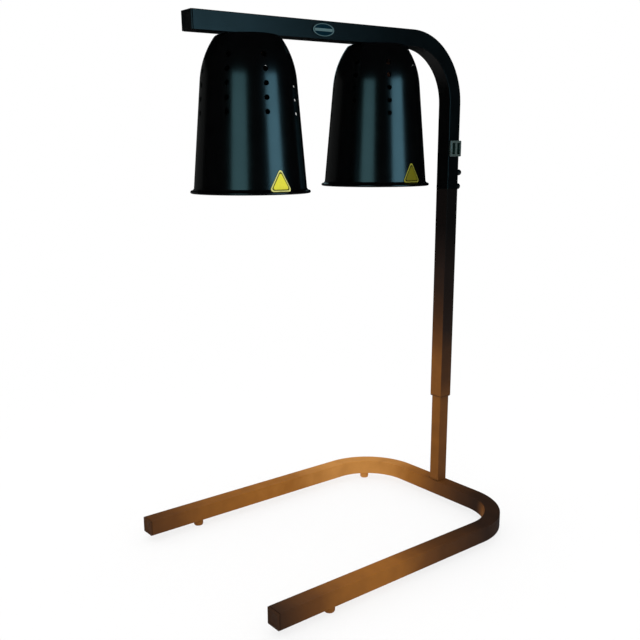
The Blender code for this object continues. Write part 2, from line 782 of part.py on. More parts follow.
def build_label(side, rim):
    """A plain rounded triangle bent to the shade's wall, point up."""
    low, high = 0.0035, 0.040
    outer = [(MOUTH_RADIUS - WALL_TAPER * h + 0.0012, h) for h in (high, low)]
    inner = [(r - LABEL_THICKNESS, h) for r, h in reversed(outer)]
    skin = turned(side + "_heat_label", outer + inner, YELLOW, steps=96, closed=True)
    place(skin, rim)
    outline = prism(side + "_label_outline", LABEL_RADIUS, 0.03, 3, None, CUTTERS)
    bevel(outline, 0.003, angle=80)
    hide_cutter(outline)
    facing = Matrix.Rotation(LABEL_TURN[side], 4, "Z")
    spot = facing @ Matrix.Translation((MOUTH_RADIUS, 0, LABEL_BASE + LABEL_RADIUS / 2))
    upright = Matrix.Rotation(math.pi / 2, 4, "Y") @ Matrix.Rotation(math.pi / 2, 4, "Z")
    outline.matrix_world = Matrix.Translation(rim) @ spot @ upright
    boolean(skin, outline, "INTERSECT")


def build_stem(side, y):
    top = from_post(0, y, shade_top_z(y))
    rise = SHADE_DROP + STEM_RISE
    stem = turned(
        side + "_stem",
        [(STEM_RADIUS, rise), (STEM_RADIUS, -STEM_REACH), (STEM_BORE, -STEM_REACH),
         (STEM_BORE, rise)],
        STEEL, steps=16, closed=True,
    )
    place(stem, top)
    bore = STEM_RADIUS + GAP
    upper = top + Vector((0, 0, SHADE_DROP + 0.0039))
    hex_nut(side + "_stem_nut_upper", 0.015, STEM_NUT_HEIGHT, bore, upper, STEEL)
    lower = top - Vector((0, 0, SHADE_WALL + GAP + STEM_NUT_HEIGHT / 2))
    hex_nut(side + "_stem_nut_lower", 0.017, STEM_NUT_HEIGHT, bore, lower, STEEL)


def build_holder(side, top):
    stem_bore = STEM_RADIUS + 0.0004
    holder = turned(
        side + "_lamp_holder",
        [(0.012, 0), (0.0165, -0.003), (0.0185, -0.013), (0.0205, -0.020),
         (0.0215, -HOLDER_LENGTH), (HOLDER_SOCKET, -HOLDER_LENGTH), (HOLDER_SOCKET, -0.014),
         (stem_bore, -0.012), (stem_bore, 0)],
        CERAMIC, steps=20, closed=True,
    )
    place(holder, top)


def build_bulb(side, top):
    cap = turned(
        side + "_bulb_cap",
        [(0, 0), (0.0045, 0), (0.006, -0.002), (0.0125, -0.004), (0.0132, -0.006),
         (0.0132, -0.026), (0.0119, -0.026), (0.0119, -0.008), (0, -0.008)],
        BRASS, steps=16,
    )
    place(cap, top)
    neck = 0.0113
    outer = [(neck, -0.009), (neck, -0.030), (0.0220, -0.052), (0.0385, -0.082),
             (0.0560, -0.116), (BULB_RADIUS, -0.138), (0.0600, -0.152), (0.0400, -0.164),
             (0, -0.168)]
    glass = turned(side + "_bulb_glass", outer, GLASS, steps=20)
    place(glass, top)
    shell = glass.modifiers.new("wall", "SOLIDIFY")
    shell.thickness = 0.001
    shell.offset = -1


def build_lamp(side, y):
    build_shade(side, y)
    build_stem(side, y)
    under_nut = from_post(0, y, shade_top_z(y) - SHADE_WALL - HOLDER_DROP)
    build_holder(side, under_nut)
    build_bulb(side, under_nut - Vector((0, 0, CAP_DROP)))


# ------------------------------------------------------------------- wires
def arm_place(x, reach, lift):
    """A place inside the arm, at a reach from the post and a lift from the centre line."""
    return from_post(x, -reach, ARM_UNDERSIDE_Z + HALF - ARM_DROOP * reach + lift)


def build_lamp_wire(side, y, depth_y):
    """From beside the switch, round the bend and down the stem's bore."""
    side_x = -0.0094
    reach = -y
    bend_z = ARM_UNDERSIDE_Z + HALF - ARM_BEND
    round_bend = [
        from_post(side_x, -ARM_BEND + (ARM_BEND + depth_y) * math.cos(a),
                  bend_z + (ARM_BEND + depth_y) * math.sin(a))
        for a in (math.radians(d) for d in (0, 22, 45, 68, 90))
    ]
    along = [arm_place(side_x, r, depth_y) for r in (0.115, (0.115 + reach - 0.03) / 2, reach - 0.03)]
    over = [arm_place(side_x * 0.72, reach - 0.012, -0.001), arm_place(0, reach, -0.001)]
    down = [from_post(0, y, arm_underside(y) + h) for h in (0.004, -0.006)]
    start = [from_post(side_x, depth_y, z) for z in (0.600, 0.650)]
    wire(side + "_lamp_wire", start + round_bend + along + over + down, WIRE_RADIUS, WIRE_SLEEVE)


def build_feed_wire():
    points = [from_post(0, 0.0035, GLAND_Z), from_post(0, -0.001, GLAND_Z + 0.001),
              from_post(0, -0.0045, GLAND_Z + 0.008), from_post(0, -0.0040, SWITCH_Z - 0.016),
              from_post(0, -0.0040, SWITCH_Z - 0.0112)]
    wire("switch_feed_wire", points, 0.0022, BLACK_PLASTIC)


def build_all():
    build_base()
    build_inner_post()
    build_sleeve()
    build_arm(build_joint())
    build_switch()
    for side, y in LAMPS.items():
        build_lamp(side, y)
    build_lamp_wire("front", LAMPS["front"], 0.004)
    build_lamp_wire("rear", LAMPS["rear"], -0.001)
    build_feed_wire()


build_all()
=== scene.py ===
"""Looks of the free-standing heat lamp warmer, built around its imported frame.

Metres, +Z up, in the frame's own axes: the base legs and the arm point to -Y,
the post stands at the back and the switch is on the +X side. Places and outer
sizes come from the frame's boxes. A profile is a list of (radius, height)
points in its piece's own place.
"""
import math

import bmesh
import bpy
from mathutils import Matrix, Vector


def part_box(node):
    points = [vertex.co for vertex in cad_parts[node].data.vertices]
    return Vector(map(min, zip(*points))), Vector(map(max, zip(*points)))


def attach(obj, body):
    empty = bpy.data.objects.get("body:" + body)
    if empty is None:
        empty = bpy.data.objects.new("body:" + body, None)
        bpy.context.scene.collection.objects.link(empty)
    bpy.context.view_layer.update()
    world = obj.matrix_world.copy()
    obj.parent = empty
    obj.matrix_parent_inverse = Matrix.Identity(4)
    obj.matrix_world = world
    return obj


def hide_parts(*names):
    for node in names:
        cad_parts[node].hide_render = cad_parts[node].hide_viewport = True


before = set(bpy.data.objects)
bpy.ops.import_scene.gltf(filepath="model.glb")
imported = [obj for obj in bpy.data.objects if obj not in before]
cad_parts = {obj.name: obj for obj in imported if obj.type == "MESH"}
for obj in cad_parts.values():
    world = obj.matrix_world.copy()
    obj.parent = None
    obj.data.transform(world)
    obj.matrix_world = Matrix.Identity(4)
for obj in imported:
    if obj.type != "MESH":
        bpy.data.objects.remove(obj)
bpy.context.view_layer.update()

# ------------ dimensions
LAMPS = ("front", "rear")
BASE_BEND = 0.0923
ARM_BEND = 0.0960
BEND_STEPS = 28
RUN_STEPS = 12
CORNER_RADIUS = 0.0011
CORNER_STEPS = 5
LOWER_WALL = 0.0015
UPPER_WALL = 0.0012
BAND_EXTRA = 0.0002
COVER_WIDER = 0.0018
COVER_TALLER = 0.0004

SHADE_HEIGHT = 0.2072
SHADE_WALL = 0.001
SHADE_STEPS = 144
MOUTH_RADIUS = 0.0794
WALL_TAPER = 0.0894
SHOULDER_HEIGHT = 0.150
SHOULDER_RADIUS = 0.110
LIP_RADIUS = 0.0840
BEAD_RADIUS = 0.0019
FLARE_RADIUS = 0.0040
CROWN_EDGE = 0.0015
VENT_ROWS = 8
VENTS_PER_ROW = 5
VENT_RADIUS = 0.0036
VENT_LOWEST = 0.1063
VENT_PITCH = 0.018
VENT_TURN = {"front": math.radians(-14), "rear": math.radians(-25.5)}

LABEL_TURN = {"front": math.radians(-3.6), "rear": math.radians(1.6)}
LABEL_RADIUS = 0.0205
LABEL_CORNER = 0.0030
LABEL_BASE = {"front": 0.0042, "rear": 0.0062}
LABEL_LIFT = 0.0009
LABEL_MIDDLE = 0.01
# The rear label's colours are darker copies of the front's: painted shade.
LABEL_LAYERS = (
    # part, outer share, inner share, extra lift, colours
    ("edge", 1.0, LABEL_MIDDLE, 0.0, {"front": (0.66, 0.66, 0.23), "rear": (0.23, 0.23, 0.025)}),
    ("line", 0.86, 0.74, 0.00012, {"front": (0.085, 0.085, 0.006), "rear": (0.010, 0.010, 0.001)}),
    ("face", 0.74, LABEL_MIDDLE, 0.00012, {"front": (0.72, 0.68, 0.050), "rear": (0.110, 0.104, 0.001)}),
)

HOLDER_LENGTH = 0.046
BULB_RADIUS = 0.0625

CAMERA_PLACE = (0.970, -0.821, 0.616)
CAMERA_YAW = math.radians(51.7)
CAMERA_PITCH = math.radians(-13.05)
CAMERA_ROLL = math.radians(-0.23)
CAMERA_LENS = 46.16
CAMERA_SHIFT = (0.0100, 0.0402)
LOOK_CENTRE = Vector((0, -0.05, 0))
SIDE_LIGHTS = (
    # name, azimuth, distance, height, size, radiance, colour
    ("key_left", -58, 1.6, 0.85, (0.85, 0.80), 1.9, (0.38, 0.88, 1.0)),
    ("key_right", 16, 1.6, 0.85, (0.85, 0.80), 3.6, (0.33, 0.77, 1.0)),
    ("back", 146, 1.9, 1.30, (0.50, 0.80), 0.6, (0.60, 0.92, 1.0)),
    ("side_left", 190, 1.9, 0.80, (1.80, 0.90), 0.05, (0.95, 1.0, 0.98)),
)
FLOOR_RADIUS = 1.9
FLOOR_FADE = (0.55, FLOOR_RADIUS * 0.97)
FLOOR_ALPHA = 0.2


def upper_middle(node):
    """The middle of a node's upper side."""
    low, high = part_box(node)
    return Vector(((low.x + high.x) / 2, (low.y + high.y) / 2, high.z))


def standing(node):
    """The middle of a node's underside, half its width and its height."""
    low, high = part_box(node)
    height = high.z - low.z
    return upper_middle(node) - Vector((0, 0, height)), (high.x - low.x) / 2, height


def lying(node):
    """The middle of a node's front end, half its height and its length along Y."""
    low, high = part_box(node)
    place = Vector(((low.x + high.x) / 2, low.y, (low.z + high.z) / 2))
    return place, (high.z - low.z) / 2, high.y - low.y


def shade_axis(side):
    """The place on a shade's axis at the height of its rim."""
    return upper_middle(side + "_shade") - Vector((0, 0, SHADE_HEIGHT))


POST_AXIS = upper_middle("outer_post")
TUBE = 2 * standing("outer_post")[1]
INNER_POST = 2 * standing("inner_post")[1]


# ------------ material nodes
def start_material(name, color, **sockets):
    """A new material with uniform values on its shader; returns (material, tree, shader)."""
    made = bpy.data.materials.new(name)
    made.use_nodes = True
    shader = made.node_tree.nodes["Principled BSDF"]
    shader.inputs["Base Color"].default_value = (*color, 1.0)
    for socket, value in sockets.items():
        shader.inputs[socket.replace("_", " ")].default_value = value
    return made, made.node_tree, shader


def add_node(tree, kind, inputs=None, **settings):
    """Adds a node; inputs maps a socket's name or number to a value or to another socket."""
    node = tree.nodes.new(kind)
    for key, value in settings.items():
        setattr(node, key, value)
    for key, value in (inputs or {}).items():
        if isinstance(value, bpy.types.NodeSocket):
            tree.links.new(value, node.inputs[key])
        else:
            node.inputs[key].default_value = value
    return node


def object_place(tree):
    return add_node(tree, "ShaderNodeTexCoord").outputs["Object"]


def noise(tree, scale, stretch=(1, 1, 1), detail=3.0):
    """Noise from 0 to 1 over the object's own coordinates; scale is in bumps per metre."""
    mapping = add_node(tree, "ShaderNodeMapping", {"Vector": object_place(tree), "Scale": stretch})
    inputs = {"Vector": mapping.outputs[0], "Scale": scale, "Detail": detail}
    return add_node(tree, "ShaderNodeTexNoise", inputs).outputs["Fac"]


def remap(tree, value, from_low, from_high, to_low, to_high, smooth=False):
    made = add_node(
        tree, "ShaderNodeMapRange",
        {"Value": value, "From Min": from_low, "From Max": from_high,
         "To Min": to_low, "To Max": to_high},
        interpolation_type="SMOOTHSTEP" if smooth else "LINEAR",
    )
    return made.outputs["Result"]


def maths(tree, operation, first, second):
    return add_node(tree, "ShaderNodeMath", {0: first, 1: second}, operation=operation).outputs[0]


def mix_number(tree, factor, low, high):
    made = add_node(tree, "ShaderNodeMix", {0: factor, 2: low, 3: high}, data_type="FLOAT")
    return made.outputs[0]


def ramp(tree, factor, stops):
    """A colour ramp with stops of (place, colour); returns its colour socket."""
    made = add_node(tree, "ShaderNodeValToRGB", {"Fac": factor})
    elements = made.color_ramp.elements
    while len(elements) < len(stops):
        elements.new(0.5)
    for element, (place, color) in zip(elements, stops):
        element.position = place
        element.color = (*color, 1.0)
    return made.outputs["Color"]


def grey_ramp(tree, factor, stops):
    return ramp(tree, factor, [(place, (level, level, level)) for place, level in stops])


def speckled_color(tree, shader, color, spread, scale, stretch=(1, 1, 1)):
    """Base colour that wanders by a share of itself."""
    low = tuple(c * (1 - spread) for c in color)
    high = tuple(min(1.0, c * (1 + spread)) for c in color)
    speckles = ramp(tree, noise(tree, scale, stretch), [(0.3, low), (0.7, high)])
    tree.links.new(speckles, shader.inputs["Base Color"])


def vary_roughness(tree, shader, low, high, scale, stretch=(1, 1, 1)):
    spread = remap(tree, noise(tree, scale, stretch), 0.3, 0.7, low, high)
    tree.links.new(spread, shader.inputs["Roughness"])


def add_bump(tree, shader, height, distance, strength=0.5):
    bump = add_node(tree, "ShaderNodeBump", {"Strength": strength, "Distance": distance, "Height": height})
    tree.links.new(bump.outputs["Normal"], shader.inputs["Normal"])


# ------------ materials
BLACK = (0.0008, 0.0009, 0.0011)


def grained(name, color, speckle, rough, stretch=(1, 1, 1), **sockets):
    """A material whose colour and roughness wander a little; returns (material, tree, shader).

    speckle is the colour's spread and scale, and rough is the roughness's low, high and scale.
    """
    made, tree, shader = start_material(name, color, **sockets)
    speckled_color(tree, shader, color, *speckle, stretch)
    vary_roughness(tree, shader, *rough, stretch)
    return made, tree, shader


def powder_coat(tree, shader, rough_low, rough_high):
    """The fine orange peel and the slightly uneven gloss of baked powder paint."""
    vary_roughness(tree, shader, rough_low, rough_high, 26)
    add_bump(tree, shader, noise(tree, 620, detail=2.0), 0.00012, 0.30)


def black_paint(name, rough_low, rough_high, gloss=0.5):
    made, tree, shader = start_material(name, BLACK, Specular_IOR_Level=gloss)
    speckled_color(tree, shader, BLACK, 0.25, 45)
    powder_coat(tree, shader, rough_low, rough_high)
    return made


LEG_SPAN = (-0.27, 0.25)
# Painted lamp light along each leg: brightest under the lamps, darker towards the leg ends and the right
# rear corner.
LEFT_LEG_LAMP_LIGHT = [(0.0, 0.34), (0.22, 0.61), (0.45, 0.72), (0.60, 0.77), (0.78, 0.98)]
RIGHT_LEG_LAMP_LIGHT = [
    (0.0, 0.17), (0.20, 0.58), (0.33, 0.70), (0.43, 0.66), (0.60, 0.33), (0.80, 0.18)
]
# Painted lamp light up the post: bronze low down, fading to black towards the shades.
POST_SPAN = (0.18, 0.52)
POST_LAMP_LIGHT = [
    (0.03, 0.56), (0.19, 0.56), (0.30, 0.50), (0.41, 0.33), (0.51, 0.24), (0.61, 0.19),
    (0.72, 0.155), (0.82, 0.09), (0.94, 0.03),
]
BASE_TOP = (0.037, 0.042)
BASE_SIDES = (-0.17, 0.12)
# Painted shade on the post's +X side, which faces away from the lamps.
SIDE_SHADE = 0.22
SIDE_SHADE_HIGHER = 0.56
SIDE_SHADE_SPAN = (0.17, 0.24)
# Painted reflection of the lamps' warm light inside the base's right rear bend.
LAMP_REFLECTION_PLACE = (0.140, 0.200, 0.020)
LAMP_REFLECTION_REACH = (0.012, 0.040)
LAMP_REFLECTION_STRENGTH = 0.42
# Colours from black through bronze, for the paint's tone and the painted lamp light.
BRONZE_AND_LAMP_LIGHT_RAMP = [
    (0.0, (0.0025, 0.0025, 0.0025)),
    (0.15, (0.018, 0.0110, 0.0085)),
    (0.45, (0.124, 0.046, 0.0115)),
    (0.72, (0.300, 0.112, 0.0175)),
    (1.0, (0.560, 0.250, 0.0600)),
]


def lamp_lit_bronze_color(tree, strength=1.0):
    """Colour that is black on the upper post and turns to warm bronze over the base.

    The bronze is partly the paint's own tone and partly painted light from the lit lamps,
    brightest on the legs under them. The post's +X side is darker than its front as
    painted shade, and a warmer spot inside the base's right rear bend is a painted
    reflection of the lamps' light.
    """
    place = add_node(tree, "ShaderNodeSeparateXYZ", {0: object_place(tree)})
    across, along, up = (place.outputs[axis] for axis in "XYZ")
    leg_share = remap(tree, along, *LEG_SPAN, 0.0, 1.0)
    left = grey_ramp(tree, leg_share, LEFT_LEG_LAMP_LIGHT)
    right = grey_ramp(tree, leg_share, RIGHT_LEG_LAMP_LIGHT)
    on_base = mix_number(tree, remap(tree, across, *BASE_SIDES, 0.0, 1.0, smooth=True), left, right)
    on_post = grey_ramp(tree, remap(tree, up, *POST_SPAN, 0.0, 1.0), POST_LAMP_LIGHT)
    above_base = remap(tree, up, *BASE_TOP, 0.0, 1.0)
    bronze_and_lamp_light = mix_number(tree, above_base, on_base, on_post)

    normal = add_node(tree, "ShaderNodeTexCoord").outputs["Normal"]
    facing = add_node(tree, "ShaderNodeSeparateXYZ", {0: normal})
    # Painted shade: surfaces above the base that face +X lose part of the bronze.
    to_side = maths(tree, "MULTIPLY", above_base, facing.outputs["X"])
    side_shade = remap(tree, up, *SIDE_SHADE_SPAN, SIDE_SHADE, SIDE_SHADE_HIGHER, smooth=True)
    shaded_away = maths(tree, "MULTIPLY", maths(tree, "MAXIMUM", to_side, 0.0), side_shade)
    kept = maths(tree, "SUBTRACT", 1.0, shaded_away)

    # Painted reflection of lamp light on front-facing surfaces near the rear bend.
    from_lamp_reflection = add_node(
        tree, "ShaderNodeVectorMath", {0: object_place(tree), 1: LAMP_REFLECTION_PLACE}, operation="DISTANCE"
    )
    glow = remap(tree, from_lamp_reflection.outputs["Value"], *LAMP_REFLECTION_REACH, LAMP_REFLECTION_STRENGTH, 0.0, smooth=True)
    to_front = maths(tree, "MAXIMUM", maths(tree, "MULTIPLY", facing.outputs["Y"], -1.0), 0.0)
    glow = maths(tree, "MULTIPLY", glow, to_front)

    bronze_and_lamp_light = maths(tree, "ADD", maths(tree, "MULTIPLY", bronze_and_lamp_light, kept), glow)
    bronze_and_lamp_light = maths(tree, "MULTIPLY", bronze_and_lamp_light, strength)
    patches = remap(tree, noise(tree, 38), 0.3, 0.7, 0.95, 1.05)
    return ramp(tree, maths(tree, "MULTIPLY", bronze_and_lamp_light, patches), BRONZE_AND_LAMP_LIGHT_RAMP)


# Black paint with the bronze tone and the painted lamp light of the lower frame.
def lamp_lit_bronze_paint():
    made, tree, shader = start_material("bronze_black_paint_lamp_lit", BLACK, Specular_IOR_Level=0.06)
    tree.links.new(lamp_lit_bronze_color(tree), shader.inputs["Base Color"])
    powder_coat(tree, shader, 0.36, 0.44)
    return made


def moulded_plastic(name, color, rough_low, rough_high):
    made, tree, shader = grained(name, color, (0.12, 160), (rough_low, rough_high, 90))
    add_bump(tree, shader, noise(tree, 2200, detail=2.0), 0.00006, 0.35)
    return made


def lamp_lit_moulding(name, strength, rough_low, rough_high):
    """Rubber or plastic beside the bronze paint, of much the same colour, with the same painted lamp light
    scaled by strength.
    """
    made, tree, shader = start_material(name, BLACK, Specular_IOR_Level=0.08)
    tree.links.new(lamp_lit_bronze_color(tree, strength), shader.inputs["Base Color"])
    vary_roughness(tree, shader, rough_low, rough_high, 140)
    add_bump(tree, shader, noise(tree, 1500), 0.0001, 0.4)
    return made


def metal(name, color, rough_low, rough_high, stretch=(1, 1, 1)):
    """Bare or plated metal with fine tool marks, drawn out across the stretch."""
    rough = (rough_low, rough_high, 500)
    made, tree, shader = grained(name, color, (0.10, 300), rough, stretch, Metallic=1.0)
    add_bump(tree, shader, noise(tree, 1400, stretch), 0.00003, 0.4)
    return made


def bulb_lit_ceramic():
    # Painted lamp light: the holder's brown stands for the bulb's warm glow on it, seen through the vents.
    color = (0.26, 0.11, 0.060)
    made, tree, shader = grained("brown_bulb_lit_ceramic", color, (0.20, 260), (0.26, 0.40, 120))
    add_bump(tree, shader, noise(tree, 900), 0.00008, 0.3)
    return made


def ruby_glass():
    """Red glass lit from inside."""
    made, tree, shader = grained(
        "ruby_glass", (0.55, 0.035, 0.010), (0.1, 70), (0.08, 0.16, 80),
        Coat_Weight=0.4, Emission_Strength=0.6,
    )
    glow = ramp(tree, noise(tree, 60), [(0.3, (1.0, 0.12, 0.025)), (0.7, (1.0, 0.20, 0.045))])
    tree.links.new(glow, shader.inputs["Emission Color"])
    return made


def printed_film(name, color):
    return grained(name, color, (0.05, 420), (0.40, 0.52, 200), Specular_IOR_Level=0.06)[0]


def soft_cover():
    """The grey-green see-through cover over the switch."""
    made, tree, shader = grained(
        "clear_grey_cover", (0.054, 0.082, 0.078), (0.10, 300), (0.22, 0.36, 240),
        Transmission_Weight=0.15, IOR=1.46,
    )
    add_bump(tree, shader, noise(tree, 700), 0.00008, 0.3)
    return made


def woven_sleeve():
    color = (0.62, 0.59, 0.51)
    made, tree, shader = start_material("woven_sleeve", color, Roughness=0.8)
    speckled_color(tree, shader, color, 0.15, 500)
    mapping = add_node(
        tree, "ShaderNodeMapping", {"Vector": object_place(tree), "Rotation": (0.8, 0.8, 0.8)}
    )
    weave = add_node(
        tree, "ShaderNodeTexWave", {"Vector": mapping.outputs[0], "Scale": 900.0, "Distortion": 1.0}
    )
    add_bump(tree, shader, weave.outputs["Fac"], 0.0001, 0.6)
    return made


PAINT = black_paint("satin_black_paint", 0.30, 0.36, gloss=0.26)
SHADE_PAINT = black_paint("gloss_black_paint", 0.19, 0.23)
# The frame's paint carries painted lamp light over the base and the lower post.
LAMP_LIT_BRONZE = lamp_lit_bronze_paint()
PLASTIC = moulded_plastic("black_plastic", (0.0022, 0.0022, 0.0024), 0.40, 0.55)
# Plastic and rubber with the frame's painted lamp light; the right leg's cap is a lighter copy of the same
# plastic, painted light.
LAMP_LIT_CAP_PLASTIC = lamp_lit_moulding("brown_black_plastic_lamp_lit", 0.82, 0.45, 0.60)
RIGHT_LAMP_LIT_CAP_PLASTIC = lamp_lit_moulding("right_cap_plastic_lamp_lit", 1.16, 0.45, 0.60)
ROCKER = moulded_plastic("rocker_plastic", (0.003, 0.006, 0.006), 0.18, 0.28)
LAMP_LIT_RUBBER = lamp_lit_moulding("lamp_lit_rubber", 1.0, 0.60, 0.78)
ZINC = metal("zinc_plate", (0.56, 0.56, 0.53), 0.30, 0.42)
CAP_BRASS = metal("lamp_cap_brass", (0.70, 0.55, 0.30), 0.22, 0.34, (1, 1, 8))
MIRROR = metal("silvered_glass", (0.62, 0.60, 0.58), 0.08, 0.16)
BULB_LIT_CERAMIC = bulb_lit_ceramic()
RUBY = ruby_glass()
BADGE_PLATE = metal("badge_plate", (0.010, 0.028, 0.036), 0.40, 0.55, (8, 1, 1))
BADGE_LINE = printed_film("badge_line", (0.085, 0.150, 0.160))
COVER = soft_cover()
PANE = moulded_plastic("switch_pane", (0.001, 0.006, 0.005), 0.10, 0.20)
SLEEVE = woven_sleeve()


# ------------ meshes
def keep_mesh(name, grid, paint, sharp=35):
    """Makes an object of a bmesh, shaded smooth with its sharper edges kept."""
    bmesh.ops.recalc_face_normals(grid, faces=grid.faces)
    mesh = bpy.data.meshes.new(name)
    grid.to_mesh(mesh)
    grid.free()
    for one in paint if isinstance(paint, (list, tuple)) else [paint]:
        mesh.materials.append(one)
    mesh.shade_smooth()
    mesh.set_sharp_from_angle(angle=math.radians(sharp))
    made = bpy.data.objects.new(name, mesh)
    bpy.context.scene.collection.objects.link(made)
    return made


def keep_flat_faces(piece):
    """Lets large flat faces set the shading beside small rounded ones."""
    weighted = piece.modifiers.new("flat_faces", "WEIGHTED_NORMAL")
    weighted.keep_sharp = True
    return piece


def skin(grid, rings, closed_rings=True):
    """Joins rings of as many points each with four-sided faces."""
    for first, second in zip(rings, rings[1:]):
        count = len(first)
        for i in range(count if closed_rings else count - 1):
            j = (i + 1) % count
            grid.faces.new((first[i], first[j], second[j], second[i]))


def arc(centre, radius, start, end, steps):
    """Points on an arc, as (x, y) pairs, from a start to an end angle."""
    return [
        (centre[0] + radius * math.cos(start + (end - start) * i / steps),
         centre[1] + radius * math.sin(start + (end - start) * i / steps))
        for i in range(steps + 1)
    ]


def rounded(points, radius, steps=4, closed=False):
    """The same outline with its corners turned into arcs; the ends stay unless closed."""
    nearly_straight, longest_share = math.radians(172), 0.48
    points = [Vector(p) for p in points]
    count = len(points)
    made = []
    for i, corner in enumerate(points):
        if not closed and i in (0, count - 1):
            made.append(tuple(corner))
            continue
        to_last = points[i - 1] - corner
        to_next = points[(i + 1) % count] - corner
        angle = to_last.angle(to_next)
        if angle > nearly_straight:
            made.append(tuple(corner))
            continue
        longest = longest_share * min(to_last.length, to_next.length)
        reach = min(radius / math.tan(angle / 2), longest)
        start = corner + to_last.normalized() * reach
        end = corner + to_next.normalized() * reach
        bend = math.sin(angle / 2)
        for t in (k / steps for k in range(steps + 1)):
            weight = (1 - t) ** 2 + 2 * bend * t * (1 - t) + t ** 2
            spot = start * (1 - t) ** 2 + corner * 2 * bend * t * (1 - t) + end * t ** 2
            made.append(tuple(spot / weight))
    return made


def rounded_square(size, radius):
    half = size / 2
    corners = [(half, -half), (half, half), (-half, half), (-half, -half)]
    return rounded(corners, radius, CORNER_STEPS, closed=True)


def swept_tube(name, stations, size, wall, paint):
    """A hollow square tube along stations of (place, side, up), open at both ends."""
    grid = bmesh.new()
    skins = []
    for section in (rounded_square(size, CORNER_RADIUS),
                    rounded_square(size - 2 * wall, CORNER_RADIUS / 3)):
        rings = [
            [grid.verts.new(place + side * a + up * b) for a, b in section]
            for place, side, up in stations
        ]
        skin(grid, rings)
        skins.append(rings)
    outer, inner = skins
    for end in (0, -1):
        skin(grid, [outer[end], inner[end]])
    return keep_flat_faces(keep_mesh(name, grid, paint))


def neighbours(points):
    """Each point between the one before and the one after it; an end point stands in for itself."""
    return zip(points[:1] + points, points, points[1:] + points[-1:])


def flat_stations(path, place_of, up):
    """Stations along a flat path of (a, b) points; place_of turns a pair into a place."""
    stations = []
    for before, spot, after in neighbours([place_of(a, b) for a, b in path]):
        side = (after - before).normalized().cross(up)
        widen = 1.0
        if spot not in (before, after):
            widen = 1 / math.cos((spot - before).angle(after - spot) / 2)
        stations.append((spot, side * widen, up))
    return stations


def run(start, end, steps):
    """Evenly spaced points between two, without the last."""
    return [
        (start[0] + (end[0] - start[0]) * i / steps, start[1] + (end[1] - start[1]) * i / steps)
        for i in range(steps)
    ]


def turned(name, profile, paint, place, turn=None, steps=48, shape=None, sharp=35):
    """Turns a closed (radius, height) outline about Z.

    An outline that starts and ends on the axis closes there. shape(radius,
    angle, height) may change each point's radius.
    """
    grid = bmesh.new()
    rings = []
    for i in range(steps):
        angle = 2 * math.pi * i / steps
        ring = []
        for radius, height in profile:
            if shape and radius > 0:
                radius = shape(radius, angle, height)
            spot = (radius * math.cos(angle), radius * math.sin(angle), height)
            ring.append(grid.verts.new(spot))
        rings.append(ring)
    on_axis = profile[0][0] == 0 and profile[-1][0] == 0
    skin(grid, rings + rings[:1], closed_rings=not on_axis)
    bmesh.ops.remove_doubles(grid, verts=grid.verts, dist=1e-7)
    matrix = Matrix.Translation(place) @ (turn or Matrix.Identity(4))
    bmesh.ops.transform(grid, matrix=matrix, verts=grid.verts)
    return keep_mesh(name, grid, paint, sharp)


ALONG_Y = Matrix.Rotation(math.radians(-90), 4, "X")


def hexagon(apothem):
    """Keeps a turned piece inside a hexagon, so its chamfers meet the flats as on a nut."""
    def limit(radius, angle, _height):
        off_flat = (angle + math.pi / 6) % (math.pi / 3) - math.pi / 6
        return min(radius, apothem / math.cos(off_flat))
    return limit


def thread(pitch, depth, low, high, bore):
    """A rounded screw thread on a turned piece's outer side between two heights."""
    def wave(radius, angle, height):
        if radius < bore or not low <= height <= high:
            return radius
        fade = min(1.0, (height - low) / pitch, (high - height) / pitch)
        return radius - depth * fade * (0.5 + 0.5 * math.cos(2 * math.pi * height / pitch - angle))
    return wave


def thread_heights(high, low, pitch, per_turn):
    """Heights down a thread, with so many to a turn."""
    count = round((high - low) / pitch * per_turn)
    return [high + (low - high) * i / count for i in range(count + 1)]


def block(name, size, place, radius, paint, segments=3):
    """A block with rounded edges."""
    grid = bmesh.new()
    bmesh.ops.create_cube(grid, size=1.0)
    bmesh.ops.scale(grid, vec=size, verts=grid.verts)
    bmesh.ops.bevel(
        grid, geom=grid.edges[:], offset=radius, segments=segments, profile=0.5, affect="EDGES"
    )
    bmesh.ops.translate(grid, vec=place, verts=grid.verts)
    return keep_mesh(name, grid, paint)


def cut(piece, cutter, operation="DIFFERENCE"):
    """Applies a Boolean with another object, which is then removed."""
    step = piece.modifiers.new("cut", "BOOLEAN")
    step.operation = operation
    step.object = cutter
    bpy.context.view_layer.update()
    depsgraph = bpy.context.evaluated_depsgraph_get()
    mesh = bpy.data.meshes.new_from_object(piece.evaluated_get(depsgraph))
    piece.modifiers.clear()
    piece.data = mesh
    bpy.data.objects.remove(cutter)
    return piece


def smooth_again(piece, sharp=35):
    piece.data.shade_smooth()
    piece.data.set_sharp_from_angle(angle=math.radians(sharp))
    return piece


def fit(piece, body, slot, *nodes):
    """Puts a finished piece on its body, in place of its nodes; the slot is not used."""
    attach(piece, body)
    if nodes:
        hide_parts(*nodes)
    return piece


# ------------ base
def base_stations():
    low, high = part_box("base_frame")
    leg_x = high.x - TUBE / 2
    back = high.y - TUBE / 2
    middle_z = (low.z + high.z) / 2
    corner_x, corner_y = leg_x - BASE_BEND, back - BASE_BEND
    left = arc((-corner_x, corner_y), BASE_BEND, math.pi, math.pi / 2, BEND_STEPS)
    right = [(-x, y) for x, y in reversed(left)]
    path = run((-leg_x, low.y), left[0], RUN_STEPS) + left
    path += run(left[-1], right[0], RUN_STEPS)[1:] + right
    path += [(x, y) for x, y in reversed(run((leg_x, low.y), right[-1], RUN_STEPS))]
    return flat_stations(path, lambda x, y: Vector((x, y, middle_z)), Vector((0, 0, 1)))


